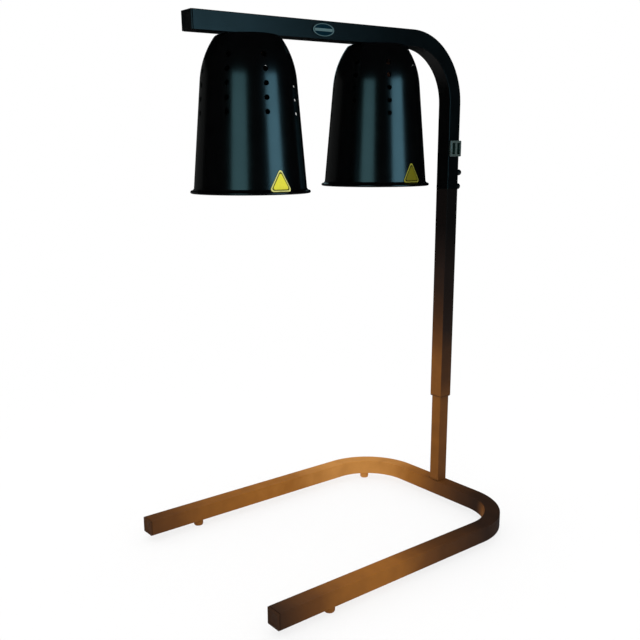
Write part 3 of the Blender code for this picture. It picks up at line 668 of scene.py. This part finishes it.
def build_base():
    tube = swept_tube("base_tube", base_stations(), TUBE, LOWER_WALL, LAMP_LIT_BRONZE)
    fit(tube, "stand", "frame_paint", "base_frame")
    for side, plastic in (("left", LAMP_LIT_CAP_PLASTIC), ("right", RIGHT_LAMP_LIT_CAP_PLASTIC)):
        build_end_cap("leg_cap_" + side, "leg_end_plug_" + side, "stand", 0.0, plastic)
    for where in ("front_left", "front_right", "rear_left", "rear_right"):
        build_foot(where)


def build_end_cap(name, node, body, tilt, paint):
    """A moulded cap with rounded edges, a shallow dish and an insert inside the tube."""
    flange = 0.0025
    width = TUBE - 0.0002
    cap = block(name, (width, flange, width), Vector((0, flange / 2, 0)), 0.0009, paint)
    cut(cap, block("dish", (0.017, 0.0012, 0.017), Vector((0, 0, 0)), 0.0005, paint, 2))
    insert_place = Vector((0, flange + 0.0055, 0))
    insert = block("insert", (0.0216, 0.0125, 0.0216), insert_place, 0.0008, paint, 2)
    cut(cap, insert, "UNION")
    smooth_again(cap)
    place = lying(node)[0]
    cap.data.transform(Matrix.Translation(place) @ Matrix.Rotation(tilt, 4, "X"))
    fit(cap, body, "black_plastic", node)


def build_foot(where):
    floor, radius, top = standing("foot_" + where)
    profile = rounded(
        [(radius * 0.90, top), (radius, top * 0.72), (radius * 0.985, 0.0022), (radius * 0.86, 0),
         (0.0050, 0), (0.0046, 0.0050), (0.0024, 0.0050), (0.0024, top)],
        0.0011, 4, closed=True,
    )
    foot = turned("rubber_foot_" + where, profile, LAMP_LIT_RUBBER, floor, steps=40)
    fit(foot, "stand", "rubber", "foot_" + where)
    build_foot_screw(where, floor)


def build_foot_screw(where, floor):
    """A cross-slotted screw; its heights are from the foot's underside."""
    node = "foot_screw_" + where
    head_top = 0.0047
    pitch = 0.0008
    thread_low, thread_high = head_top + 0.001, standing(node)[2] + 0.0015
    shank = [(0.0020, z) for z in thread_heights(thread_high, thread_low, pitch, 6)]
    profile = (
        [(0, 0.0190), (0.0014, 0.0189)] + shank
        + [(0.0020, head_top), (0.0036, head_top), (0.0038, head_top - 0.0004),
           (0.0036, head_top - 0.0014), (0.0028, head_top - 0.0023), (0.0014, head_top - 0.0027),
           (0, head_top - 0.0028)]
    )
    shape = thread(pitch, pitch / 2, thread_low, thread_high, 0.0019)
    screw = turned("foot_screw_detail_" + where, profile, ZINC, floor, steps=24, shape=shape)
    for turn in (0, math.pi / 2):
        slot = block("slot", (0.0042, 0.0008, 0.0022), Vector((0, 0, head_top - 0.0026)), 0.0001, ZINC, 1)
        slot.data.transform(Matrix.Translation(floor) @ Matrix.Rotation(turn + 0.5, 4, "Z"))
        cut(screw, slot)
    smooth_again(screw)
    fit(screw, "stand", "zinc_steel", node)


# ------------ post
def upright_stations(node):
    foot, _, height = standing(node)
    side, up = Vector((1, 0, 0)), Vector((0, 1, 0))
    return [(foot + Vector((0, 0, height * i / RUN_STEPS)), side, up) for i in range(RUN_STEPS + 1)]


def build_post():
    tubes = (
        ("inner_post", INNER_POST, LOWER_WALL, "stand"),
        ("outer_post", TUBE, UPPER_WALL, "lamp_head"),
    )
    for node, width, wall, body in tubes:
        tube = swept_tube(node + "_tube", upright_stations(node), width, wall, LAMP_LIT_BRONZE)
        fit(tube, body, "frame_paint", node)
    build_bush()
    build_collar()
    build_set_screw()
    build_base_bolt()


def square_ring(name, outer, inner, low, high, edge, paint):
    """An upright square ring with rounded edges around the post's axis."""
    bore = (inner, CORNER_RADIUS * 0.5)
    sections = (
        (low, outer - 2 * edge, CORNER_RADIUS), (low + edge, outer, CORNER_RADIUS),
        (high - edge, outer, CORNER_RADIUS), (high, outer - 2 * edge, CORNER_RADIUS),
        (high, *bore), (low, *bore),
    )
    grid = bmesh.new()
    rings = [
        [grid.verts.new((POST_AXIS.x + a, POST_AXIS.y + b, z)) for a, b in rounded_square(width, corner)]
        for z, width, corner in sections
    ]
    skin(grid, rings + rings[:1])
    return keep_flat_faces(keep_mesh(name, grid, paint, 50))


def build_bush():
    """The plastic bush in the outer post's lower end; its flange shows as a thin dark line."""
    low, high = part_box("outer_post_bush")
    step = low.z + 0.002
    bore = INNER_POST + 0.0006
    flange = square_ring("post_bush", TUBE - 0.0002, bore, low.z, step, 0.0004, LAMP_LIT_CAP_PLASTIC)
    fit(flange, "lamp_head", "black_plastic")
    inside = TUBE - 2 * UPPER_WALL - 0.0006
    sleeve = square_ring("post_bush_sleeve", inside, bore, step, high.z, 0.0002, LAMP_LIT_CAP_PLASTIC)
    fit(sleeve, "lamp_head", "black_plastic", "outer_post_bush")


def build_collar():
    low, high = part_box("joint_collar")
    bottom, top = low.z - BAND_EXTRA, high.z + BAND_EXTRA
    band = square_ring("joint_band", TUBE + BAND_EXTRA, TUBE - 0.002, bottom, top, 0.0003, PAINT)
    fit(band, "lamp_head", "black_paint", "joint_collar")


def build_set_screw():
    place, radius, length = lying("height_set_screw")
    pitch = 0.0008
    socket = 0.0013
    outer = [(radius, z) for z in thread_heights(length - 0.0004, 0.0006, pitch, 6)]
    profile = (
        [(0, length - 0.0025), (socket, length - 0.0022), (socket, length), (radius * 0.9, length)]
        + outer + [(radius * 0.8, 0), (0, 0)]
    )
    shape = thread(pitch, 0.0003, 0.0004, length - 0.0002, 0.0018)
    screw = turned("height_screw", profile, ZINC, place, ALONG_Y, 30, shape)
    fit(screw, "lamp_head", "zinc_steel", "height_set_screw")


def build_base_bolt():
    """The bolt and washer under the post, inside the base tube."""
    place, corner, tip = standing("post_base_bolt")
    head, shank = 0.0053, 0.0038
    profile = [
        (0, 0), (0.0056, 0), (corner, 0.0011), (corner, head - 0.0002), (corner * 0.97, head),
        (shank, head), (shank * 0.8, tip), (0, tip),
    ]
    shape = hexagon(corner * math.cos(math.pi / 6))
    bolt = turned("base_bolt", profile, ZINC, place, steps=72, shape=shape, sharp=25)
    fit(bolt, "stand", "zinc_steel", "post_base_bolt")
    place, outer, thick = standing("post_base_washer")
    bore = 0.0045
    outline = rounded([(outer, thick), (outer, 0), (bore, 0), (bore, thick)], 0.0003, 3, closed=True)
    washer = turned("base_washer", outline, ZINC, place, steps=64)
    fit(washer, "stand", "zinc_steel", "post_base_washer")


# ------------ arm
def arm_underside():
    """Droop of the arm per metre forward, and its underside's height at the post's axis."""
    drop = 0.0013
    front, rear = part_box("front_shade"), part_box("rear_shade")
    front_y, rear_y = (front[0].y + front[1].y) / 2, (rear[0].y + rear[1].y) / 2
    slope = (rear[1].z - front[1].z) / (rear_y - front_y)
    return slope, rear[1].z + drop + slope * (POST_AXIS.y - rear_y)


ARM_SLOPE, ARM_Z = arm_underside()
ARM_TILT = math.atan(ARM_SLOPE)


def arm_stations():
    """Up the post, round the bend and forward to the arm's open end."""
    low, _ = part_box("arm_tube")
    centre_z = ARM_Z + TUBE / 2 / math.cos(ARM_TILT)
    turn = math.pi / 2 + ARM_TILT
    end_reach = ARM_BEND - ARM_BEND * math.cos(turn)
    bend_z = centre_z - ARM_SLOPE * end_reach - ARM_BEND * math.sin(turn)
    bend = arc((ARM_BEND, bend_z), ARM_BEND, math.pi, math.pi - turn, BEND_STEPS)
    tip = POST_AXIS.y - low.y
    tip_point = (tip, centre_z - ARM_SLOPE * tip)
    path = run((0, low.z), bend[0], RUN_STEPS) + bend
    path += run(bend[-1], tip_point, RUN_STEPS)[1:] + [tip_point]
    return flat_stations(
        path, lambda reach, z: Vector((POST_AXIS.x, POST_AXIS.y - reach, z)), Vector((1, 0, 0))
    )


def build_arm():
    arm = swept_tube("arm_tube_bent", arm_stations(), TUBE, UPPER_WALL, PAINT)
    fit(arm, "lamp_head", "black_paint", "arm_tube")
    build_end_cap("arm_cap", "arm_end_plug", "lamp_head", ARM_TILT, PLASTIC)
    build_badge()


def oval_piece(name, outline, paint, matrix, close_middle=False):
    """Joins circles that face +X; outline gives each one's (radius, place along X)."""
    grid = bmesh.new()
    steps = 96
    turns = [2 * math.pi * i / steps for i in range(steps)]
    rings = [
        [grid.verts.new((out, radius * math.cos(turn), radius * math.sin(turn))) for turn in turns]
        for radius, out in outline
    ]
    skin(grid, rings if close_middle else rings + rings[:1])
    if close_middle:
        for ring in (rings[0], rings[-1]):
            grid.faces.new(ring)
    bmesh.ops.transform(grid, matrix=matrix, verts=grid.verts)
    return keep_mesh(name, grid, paint)


def build_badge():
    """A blank oval plate with a raised line around its edge and a plain raised bar."""
    low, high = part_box("arm_badge")
    thick, length, height = high - low
    place = Vector((low.x, (low.y + high.y) / 2, (low.z + high.z) / 2))
    on_arm = Matrix.Translation(place) @ Matrix.Rotation(ARM_TILT, 4, "X")
    oval = on_arm @ Matrix.Diagonal((thick, length / 2, height / 2, 1))
    plate_outline = [(0.10, 0), (1.0, 0), (1.0, 0.6), (0.985, 0.8), (0.10, 0.8)]
    plate = oval_piece("badge_plate_blank", plate_outline, BADGE_PLATE, oval, close_middle=True)
    fit(plate, "lamp_head", "badge_grey", "arm_badge")
    line_outline = [(0.95, 0.7), (0.94, 1.05), (0.87, 1.05), (0.86, 0.7)]
    line = oval_piece("badge_edge_line", line_outline, BADGE_LINE, oval)
    fit(line, "lamp_head", "badge_grey")
    bar_size = (thick * 0.4, length * 0.81, height * 0.21)
    bar_place = Vector((thick * 0.9, 0, 0))
    bar = block("badge_plain_bar", bar_size, bar_place, thick * 0.15, BADGE_LINE, 2)
    bar.data.transform(on_arm)
    fit(bar, "lamp_head", "badge_grey")


# ------------ screw and gland
def build_thumb_screw():
    place, radius, length = lying("joint_thumb_screw")
    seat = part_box("joint_collar")[1].y - place.y + 0.0003
    neck, shank = radius * 0.8, 0.0020
    dome_foot = length - radius * 0.9
    dome = [(out, dome_foot + z * 0.9) for out, z in arc((0, 0), radius, math.pi / 2, 0, 10)[1:]]
    profile = (
        [(0, length)] + dome
        + rounded([(radius, seat + 0.0072), (neck, seat + 0.006), (neck, seat), (shank, seat)], 0.0005, 3)
        + [(shank, z) for z in thread_heights(seat - 0.0012, 0.0010, 0.0008, 6)] + [(0.0014, 0), (0, 0)]
    )

    def grip(out, angle, height):
        ridged = out > neck and height < length - radius * 0.6
        return out * (1 + 0.025 * math.cos(angle * 18)) if ridged else out

    knob = turned("thumb_screw_knob", profile, PLASTIC, place, ALONG_Y, 108, grip)
    fit(knob, "thumb_screw", "black_plastic", "joint_thumb_screw")


def build_gland():
    place, _, length = lying("cord_gland")
    seat = POST_AXIS.y + TUBE / 2 + 0.0003 - place.y
    radius, neck, flange, thread_radius, bore = 0.0050, 0.0047, 0.0060, 0.0041, 0.0032
    profile = rounded(
        [(thread_radius, length), (radius * 0.92, length - 0.0010), (radius, length - 0.0030),
         (radius, seat + 0.0045), (neck, seat + 0.0040), (neck, seat + 0.0034),
         (flange, seat + 0.0030), (flange, seat), (thread_radius, seat), (thread_radius, 0.0002),
         (bore, 0), (bore, length - 0.0006)],
        0.0004, 3, closed=True,
    )

    def ribs(out, angle, height):
        ribbed = out > 0.0049 and seat + 0.0046 < height < length - 0.002
        return out * (1 - 0.02 * math.cos(angle * 12)) if ribbed else out

    gland = turned("cord_gland_body", profile, PLASTIC, place, ALONG_Y, 96, ribs)
    fit(gland, "lamp_head", "black_plastic", "cord_gland")


# ------------ switch
def build_switch():
    low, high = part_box("switch_boot")
    middle = (low + high) / 2
    width, height = high.y - low.y, high.z - low.z
    face = POST_AXIS.x + TUBE / 2 + 0.0003
    thick, rim = 0.0016, 0.0033
    place = Vector((face + thick / 2, middle.y, middle.z))
    bezel = block("switch_bezel", (thick, width, height), place, 0.0005, PLASTIC)
    opening = (thick * 3, width - 2 * rim, height - 2 * rim)
    cut(bezel, block("opening", opening, place, 0.0008, PLASTIC))
    smooth_again(bezel)
    fit(bezel, "lamp_head", "black_plastic")
    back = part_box("switch_housing")[0].x
    depth = face - back - 0.005
    body_size = (depth, width - 0.0055, height - 0.0055)
    body_place = Vector((back + depth / 2, middle.y, middle.z))
    body = block("switch_body_block", body_size, body_place, 0.0006, PLASTIC, 2)
    fit(body, "lamp_head", "black_plastic", "switch_housing")
    build_rocker()
    build_cover(low, high)


def build_rocker():
    """A dished rocker with rounded ends, tipped so that its upper half is out."""
    low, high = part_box("switch_rocker")
    middle = (low + high) / 2
    reach, half_width, half = (high - low) / 2
    steps, edge = 24, 0.0006
    shares = [1 - 2 * i / steps for i in range(steps + 1)]
    front = [(reach * (0.62 + 0.30 * share ** 2), half * 0.98 * share) for share in shares]
    back = [(-reach * 0.6, -half * 0.8), (-reach, 0), (-reach * 0.6, half * 0.8)]
    outline = rounded(front + back, 0.0006, 3, closed=True)
    tilt = Matrix.Rotation(math.radians(7), 3, "Y")
    inset = half_width - edge
    sections = ((-inset - edge, edge), (-inset, 0), (inset, 0), (inset + edge, edge))
    grid = bmesh.new()
    rings = []
    for y, pull in sections:
        scale = 1 - pull / half
        rings.append([
            grid.verts.new(middle + tilt @ Vector((x * scale, y, z * scale))) for x, z in outline
        ])
    skin(grid, rings)
    for ring in (rings[0], rings[-1]):
        grid.faces.new(ring)
    rocker = keep_mesh("rocker_key", grid, ROCKER, 50)
    fit(rocker, "power_rocker", "rocker_plastic", "switch_rocker")


def build_cover(low, high):
    """The soft cover: a hollow raised frame with a rib down its middle and two dark windows."""
    low = low - Vector((0, COVER_WIDER, COVER_TALLER))
    high = high + Vector((0, 0, COVER_TALLER))
    middle = (low + high) / 2
    size = high - low
    rim, rib, recess, slack = 0.0036, 0.0044, 0.0008, 0.0002
    width, height = (size.y - 2 * rim - rib) / 2, size.z - 2 * rim
    cover = block("cover_frame", size, middle, 0.0015, COVER, 4)
    hollow_size = (size.x, size.y - 0.002, size.z - 0.002)
    cut(cover, block("hollow", hollow_size, middle - Vector((0.0012, 0, 0)), 0.0005, COVER, 1))
    for side, sign in (("left", -1), ("right", 1)):
        spot = Vector((high.x, middle.y + sign * (rib + width) / 2, middle.z))
        cut(cover, block("pocket", (4 * recess, width, height), spot, 0.0010, COVER))
        pane_size = (0.0006, width - slack, height - slack)
        pane_place = spot - Vector((recess + 0.0003, 0, 0))
        pane = block("switch_window_" + side, pane_size, pane_place, 0.00025, PANE, 2)
        fit(pane, "lamp_head", "boot_grey")
    smooth_again(cover)
    fit(cover, "lamp_head", "boot_grey", "switch_boot")


# ------------ lamps
def wall_radius(height):
    return MOUTH_RADIUS - WALL_TAPER * height


def offset_line(points, distance):
    """A line beside another one, on its right-hand side."""
    made = []
    for before, point, after in neighbours(points):
        along = (Vector(after) - Vector(before)).normalized()
        made.append((point[0] + along.y * distance, point[1] - along.x * distance))
    return made


FLANGE_TOP = 2 * BEAD_RADIUS


def skin_radius(height):
    """Outer radius of the shade's straight wall and of the flare at its foot."""
    rise = FLANGE_TOP + FLARE_RADIUS - height
    if rise <= 0:
        return wall_radius(height)
    reach = math.sqrt(max(FLARE_RADIUS ** 2 - rise ** 2, 0))
    return wall_radius(height) + FLARE_RADIUS - reach


def shade_outline():
    """Closed outline of the shade's sheet with its rolled bead; heights are from the bead's foot."""
    lean = math.atan(WALL_TAPER)
    foot = wall_radius(SHOULDER_HEIGHT)
    centre = (foot - SHOULDER_RADIUS * math.cos(lean), SHOULDER_HEIGHT - SHOULDER_RADIUS * math.sin(lean))
    edge_height = SHADE_HEIGHT - CROWN_EDGE
    end = math.asin((edge_height - centre[1]) / SHOULDER_RADIUS)
    dome = arc(centre, SHOULDER_RADIUS, end, lean, 22)
    crown = rounded(
        [(0.0056, SHADE_HEIGHT), (dome[0][0] - 0.0028, SHADE_HEIGHT), dome[0], dome[1]], 0.004, 6
    )
    flare_top = FLANGE_TOP + FLARE_RADIUS
    wall_steps, flare_steps = 30, 9
    wall = [
        SHOULDER_HEIGHT + (flare_top - SHOULDER_HEIGHT) * i / wall_steps for i in range(1, wall_steps + 1)
    ]
    turns = [math.pi / 2 * i / flare_steps for i in range(1, flare_steps + 1)]
    flare = [flare_top - FLARE_RADIUS * math.sin(turn) for turn in turns]
    outer = crown[:-1] + dome[1:] + [(skin_radius(h), h) for h in wall + flare]
    inner = offset_line(outer, SHADE_WALL)
    bead_centre = (LIP_RADIUS - BEAD_RADIUS, BEAD_RADIUS)
    bead = arc(bead_centre, BEAD_RADIUS, math.pi / 2, -math.pi * 0.95, 18)
    inner = [spot for spot in inner if spot[0] < bead[-1][0] or spot[1] > FLANGE_TOP + SHADE_WALL]
    return outer + bead + inner[::-1]


def vent_cutter(side):
    reach, depth = 0.062, 0.03
    grid = bmesh.new()
    for row in range(VENT_ROWS):
        turn = Matrix.Rotation(VENT_TURN[side] + 2 * math.pi * row / VENT_ROWS, 4, "Z")
        for i in range(VENTS_PER_ROW):
            spot = Matrix.Translation((reach, 0, VENT_LOWEST + VENT_PITCH * i))
            bmesh.ops.create_cone(
                grid, cap_ends=True, segments=20, radius1=VENT_RADIUS, radius2=VENT_RADIUS,
                depth=depth, matrix=turn @ spot @ Matrix.Rotation(math.pi / 2, 4, "Y"),
            )
    bmesh.ops.translate(grid, vec=shade_axis(side), verts=grid.verts)
    return keep_mesh(side + "_vents", grid, PAINT)


def build_shade(side):
    shade = turned(
        side + "_shade_dome", shade_outline(), SHADE_PAINT, shade_axis(side), steps=SHADE_STEPS, sharp=40
    )
    smooth_again(cut(shade, vent_cutter(side)), 40)
    fit(shade, "lamp_head", "black_paint", side + "_shade")
    build_label(side)


def triangle_outline(radius, corner):
    """A rounded triangle, point up, as (across, up) from its centre."""
    corners = [
        (radius * math.cos(a), radius * math.sin(a))
        for a in (math.pi / 2, math.pi * 7 / 6, math.pi * 11 / 6)
    ]
    return rounded(corners, corner, 6, closed=True)


def label_layer(name, side, outer, inner, lift, paint):
    """A film bent to the shade's wall, between two sizes of the same triangle."""
    axis = shade_axis(side)
    base = LABEL_BASE[side] + LABEL_RADIUS / 2
    outline = triangle_outline(LABEL_RADIUS, LABEL_CORNER)
    steps = 10
    grid = bmesh.new()
    rings = []
    for i in range(steps + 1):
        share = inner + (outer - inner) * i / steps
        ring = []
        for across, up in outline:
            height = base + up * share
            radius = skin_radius(height) + lift
            angle = LABEL_TURN[side] + across * share / radius
            spot = Vector((radius * math.cos(angle), radius * math.sin(angle), height))
            ring.append(grid.verts.new(axis + spot))
        rings.append(ring)
    skin(grid, rings)
    if inner <= LABEL_MIDDLE:
        grid.faces.new(rings[0])
    film = keep_mesh(name, grid, paint)
    shell = film.modifiers.new("film", "SOLIDIFY")
    shell.thickness = 0.0002
    shell.offset = -1
    return film


def build_label(side):
    for part, outer, inner, extra_lift, colors in LABEL_LAYERS:
        paint = printed_film(f"{side}_film_{part}", colors[side])
        lift = LABEL_LIFT + extra_lift
        film = label_layer(f"{side}_label_{part}", side, outer, inner, lift, paint)
        nodes = [side + "_heat_label"] if part == "edge" else []
        fit(film, "lamp_head", "label_yellow", *nodes)


def build_stem(side):
    place, _, length = standing(side + "_stem")
    pitch, radius, bore = 0.001, 0.0050, 0.0032
    outer = [(radius, z) for z in thread_heights(length, 0, pitch, 6)]
    shape = thread(pitch, pitch / 2, 0, length, 0.0040)
    stem = turned(
        side + "_threaded_stem", outer + [(bore, 0), (bore, length)], ZINC, place, steps=36, shape=shape
    )
    fit(stem, "lamp_head", "zinc_steel", side + "_stem")
    for level in ("upper", "lower"):
        build_nut(side, level)


def build_nut(side, level):
    node = f"{side}_stem_nut_{level}"
    place, _, height = standing(node)
    low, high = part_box(node)
    apothem = min(high.x - low.x, high.y - low.y) / 2
    corner = apothem / math.cos(math.pi / 6)
    bore, bevel = 0.0053, 0.0006
    profile = [
        (bore, height), (apothem * 0.97, height), (corner, height - bevel), (corner, bevel),
        (apothem * 0.97, 0), (bore, 0),
    ]
    shape = hexagon(apothem)
    nut = turned(f"{side}_hex_nut_{level}", profile, ZINC, place, steps=72, shape=shape, sharp=25)
    fit(nut, "lamp_head", "zinc_steel", node)


def build_holder(side):
    """The ceramic screw holder; its heights are from its top."""
    node = side + "_lamp_holder"
    socket, lip = 0.0143, 0.0215
    profile = rounded(
        [(0.0120, 0), (0.0165, -0.003), (0.0172, -0.012), (0.0196, -0.0145), (0.0205, -0.020),
         (0.0205, -0.040), (lip, -0.0415), (lip, -HOLDER_LENGTH), (socket, -HOLDER_LENGTH),
         (socket, -0.014), (0.0054, -0.012), (0.0054, 0)],
        0.0010, 4, closed=True,
    )
    holder = turned(side + "_ceramic_holder", profile, BULB_LIT_CERAMIC, upper_middle(node), steps=80)
    fit(holder, "lamp_head", "ceramic", node)


def build_bulb(side):
    """The bulb's threaded cap and its glass; their heights are from the cap's top."""
    node = side + "_bulb_cap"
    top = upper_middle(node)
    pitch, thread_high, thread_low = 0.0036, -0.0052, -0.0225
    profile = (
        [(0, 0), (0.0038, -0.0002), (0.0046, -0.0009), (0.0060, -0.0022), (0.0105, -0.0036)]
        + [(0.0132, z) for z in thread_heights(thread_high, thread_low, pitch, 12)]
        + [(0.0128, -0.0240), (0.0128, -0.0260), (0.0119, -0.0260), (0.0119, -0.0080), (0, -0.0080)]
    )
    shape = thread(pitch, 0.0011, thread_low, thread_high, 0.0125)
    cap = turned(side + "_screw_cap", profile, CAP_BRASS, top, steps=72, shape=shape)
    fit(cap, side + "_bulb", "lamp_cap_brass", node)
    build_bulb_glass(side, top)


def build_bulb_glass(side, top):
    """A reflector bulb: silvered neck and cone, clear red face."""
    edge_z, wall, mirror_end = -0.140, 0.001, -0.136
    outer = rounded(
        [(0.0113, -0.009), (0.0113, -0.030), (0.0220, -0.052), (0.0385, -0.082), (0.0560, -0.116),
         (BULB_RADIUS, -0.132), (BULB_RADIUS, edge_z), (0.0600, -0.152), (0.0400, -0.164), (0, -0.168)],
        0.030, 8,
    )
    inner = [(max(radius, 0), z) for radius, z in offset_line(outer, wall)[:-1]]
    profile = outer + [(0, outer[-1][1] + wall)] + inner[::-1]
    glass = turned(side + "_reflector_bulb", profile, [MIRROR, RUBY], top, steps=96)
    for face in glass.data.polygons:
        face.material_index = 1 if face.center.z < top.z + mirror_end else 0
    fit(glass, side + "_bulb", "lamp_glass", side + "_bulb_glass")


# ------------ nodes that stay as they are
KEPT = {
    "inner_post_guide": PLASTIC,
    "post_threaded_plug": ZINC,
    "joint_spigot": ZINC,
    "gland_nut": PLASTIC,
    "switch_feed_wire": PLASTIC,
    "front_lamp_wire": SLEEVE,
    "rear_lamp_wire": SLEEVE,
}


def finish_kept_nodes():
    for name, paint in KEPT.items():
        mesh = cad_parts[name].data
        mesh.materials.clear()
        mesh.materials.append(paint)


# ------------ camera and studio
def build_camera():
    data = bpy.data.cameras.new("camera")
    data.lens = CAMERA_LENS
    data.sensor_width = 36.0
    data.shift_x, data.shift_y = CAMERA_SHIFT
    data.clip_start = 0.01
    camera = bpy.data.objects.new("camera", data)
    bpy.context.scene.collection.objects.link(camera)
    camera.matrix_world = (
        Matrix.Translation(CAMERA_PLACE)
        @ Matrix.Rotation(CAMERA_YAW, 4, "Z")
        @ Matrix.Rotation(math.pi / 2 + CAMERA_PITCH, 4, "X")
        @ Matrix.Rotation(CAMERA_ROLL, 4, "Z")
    )
    bpy.context.scene.camera = camera


def soft_box(name, azimuth, distance, height, size, radiance, color):
    """A rectangular light that points level at the middle's upright line, or down if it is above it.

    azimuth is in degrees from +X.
    """
    data = bpy.data.lights.new(name, "AREA")
    data.shape = "RECTANGLE"
    data.size, data.size_y = size
    data.color = color
    data.energy = radiance * math.pi * size[0] * size[1]
    lamp = bpy.data.objects.new(name, data)
    bpy.context.scene.collection.objects.link(lamp)
    turn = math.radians(azimuth)
    out = Vector((math.cos(turn), math.sin(turn), 0)) * distance
    lamp.location = LOOK_CENTRE + out + Vector((0, 0, height))
    facing = -out if distance else Vector((0, 0, -1))
    lamp.rotation_euler = facing.to_track_quat("-Z", "Y").to_euler()
    lamp.visible_camera = False
    return lamp


def build_studio():
    for light in SIDE_LIGHTS:
        soft_box(*light).visible_diffuse = False
    soft_box("overhead", 0, 0, 2.2, (1.2, 1.2), 1.6, (1.0, 1.0, 1.0)).visible_glossy = False
    build_world()
    build_floor()


def build_world():
    """White surroundings that lend plenty of soft light but stay dim in reflections."""
    world = bpy.data.worlds.new("studio")
    world.use_nodes = True
    tree = world.node_tree
    bright = tree.nodes["Background"]
    bright.inputs["Color"].default_value = (1.0, 1.0, 1.0, 1.0)
    bright.inputs["Strength"].default_value = 1.0
    dim = add_node(tree, "ShaderNodeBackground", {"Color": (0.7, 0.85, 1.0, 1.0), "Strength": 0.004})
    glossy = add_node(tree, "ShaderNodeLightPath").outputs["Is Glossy Ray"]
    mixed = add_node(tree, "ShaderNodeMixShader", {0: glossy, 1: bright.outputs[0], 2: dim.outputs[0]})
    tree.links.new(mixed.outputs[0], tree.nodes["World Output"].inputs["Surface"])
    bpy.context.scene.world = world


def build_floor():
    """A pale, mostly see-through round floor that fades into the white surroundings."""
    grid = bmesh.new()
    bmesh.ops.create_circle(grid, cap_ends=True, segments=96, radius=FLOOR_RADIUS)
    pale = (0.93, 0.93, 0.93)
    made, tree, shader = start_material("pale_floor", pale, Roughness=0.8, Specular_IOR_Level=0.0)
    speckled_color(tree, shader, pale, 0.01, 3)
    far = add_node(tree, "ShaderNodeVectorMath", {0: object_place(tree)}, operation="LENGTH")
    fade = remap(tree, far.outputs["Value"], *FLOOR_FADE, FLOOR_ALPHA, 0.0, smooth=True)
    tree.links.new(fade, shader.inputs["Alpha"])
    floor = keep_mesh("studio_floor", grid, made)


# ------------ make
build_camera()
build_studio()
build_base()
build_post()
build_arm()
build_thumb_screw()
build_gland()
build_switch()
for lamp_side in LAMPS:
    build_shade(lamp_side)
    build_stem(lamp_side)
    build_holder(lamp_side)
    build_bulb(lamp_side)
finish_kept_nodes()
bpy.context.scene.view_settings.view_transform = "Standard"
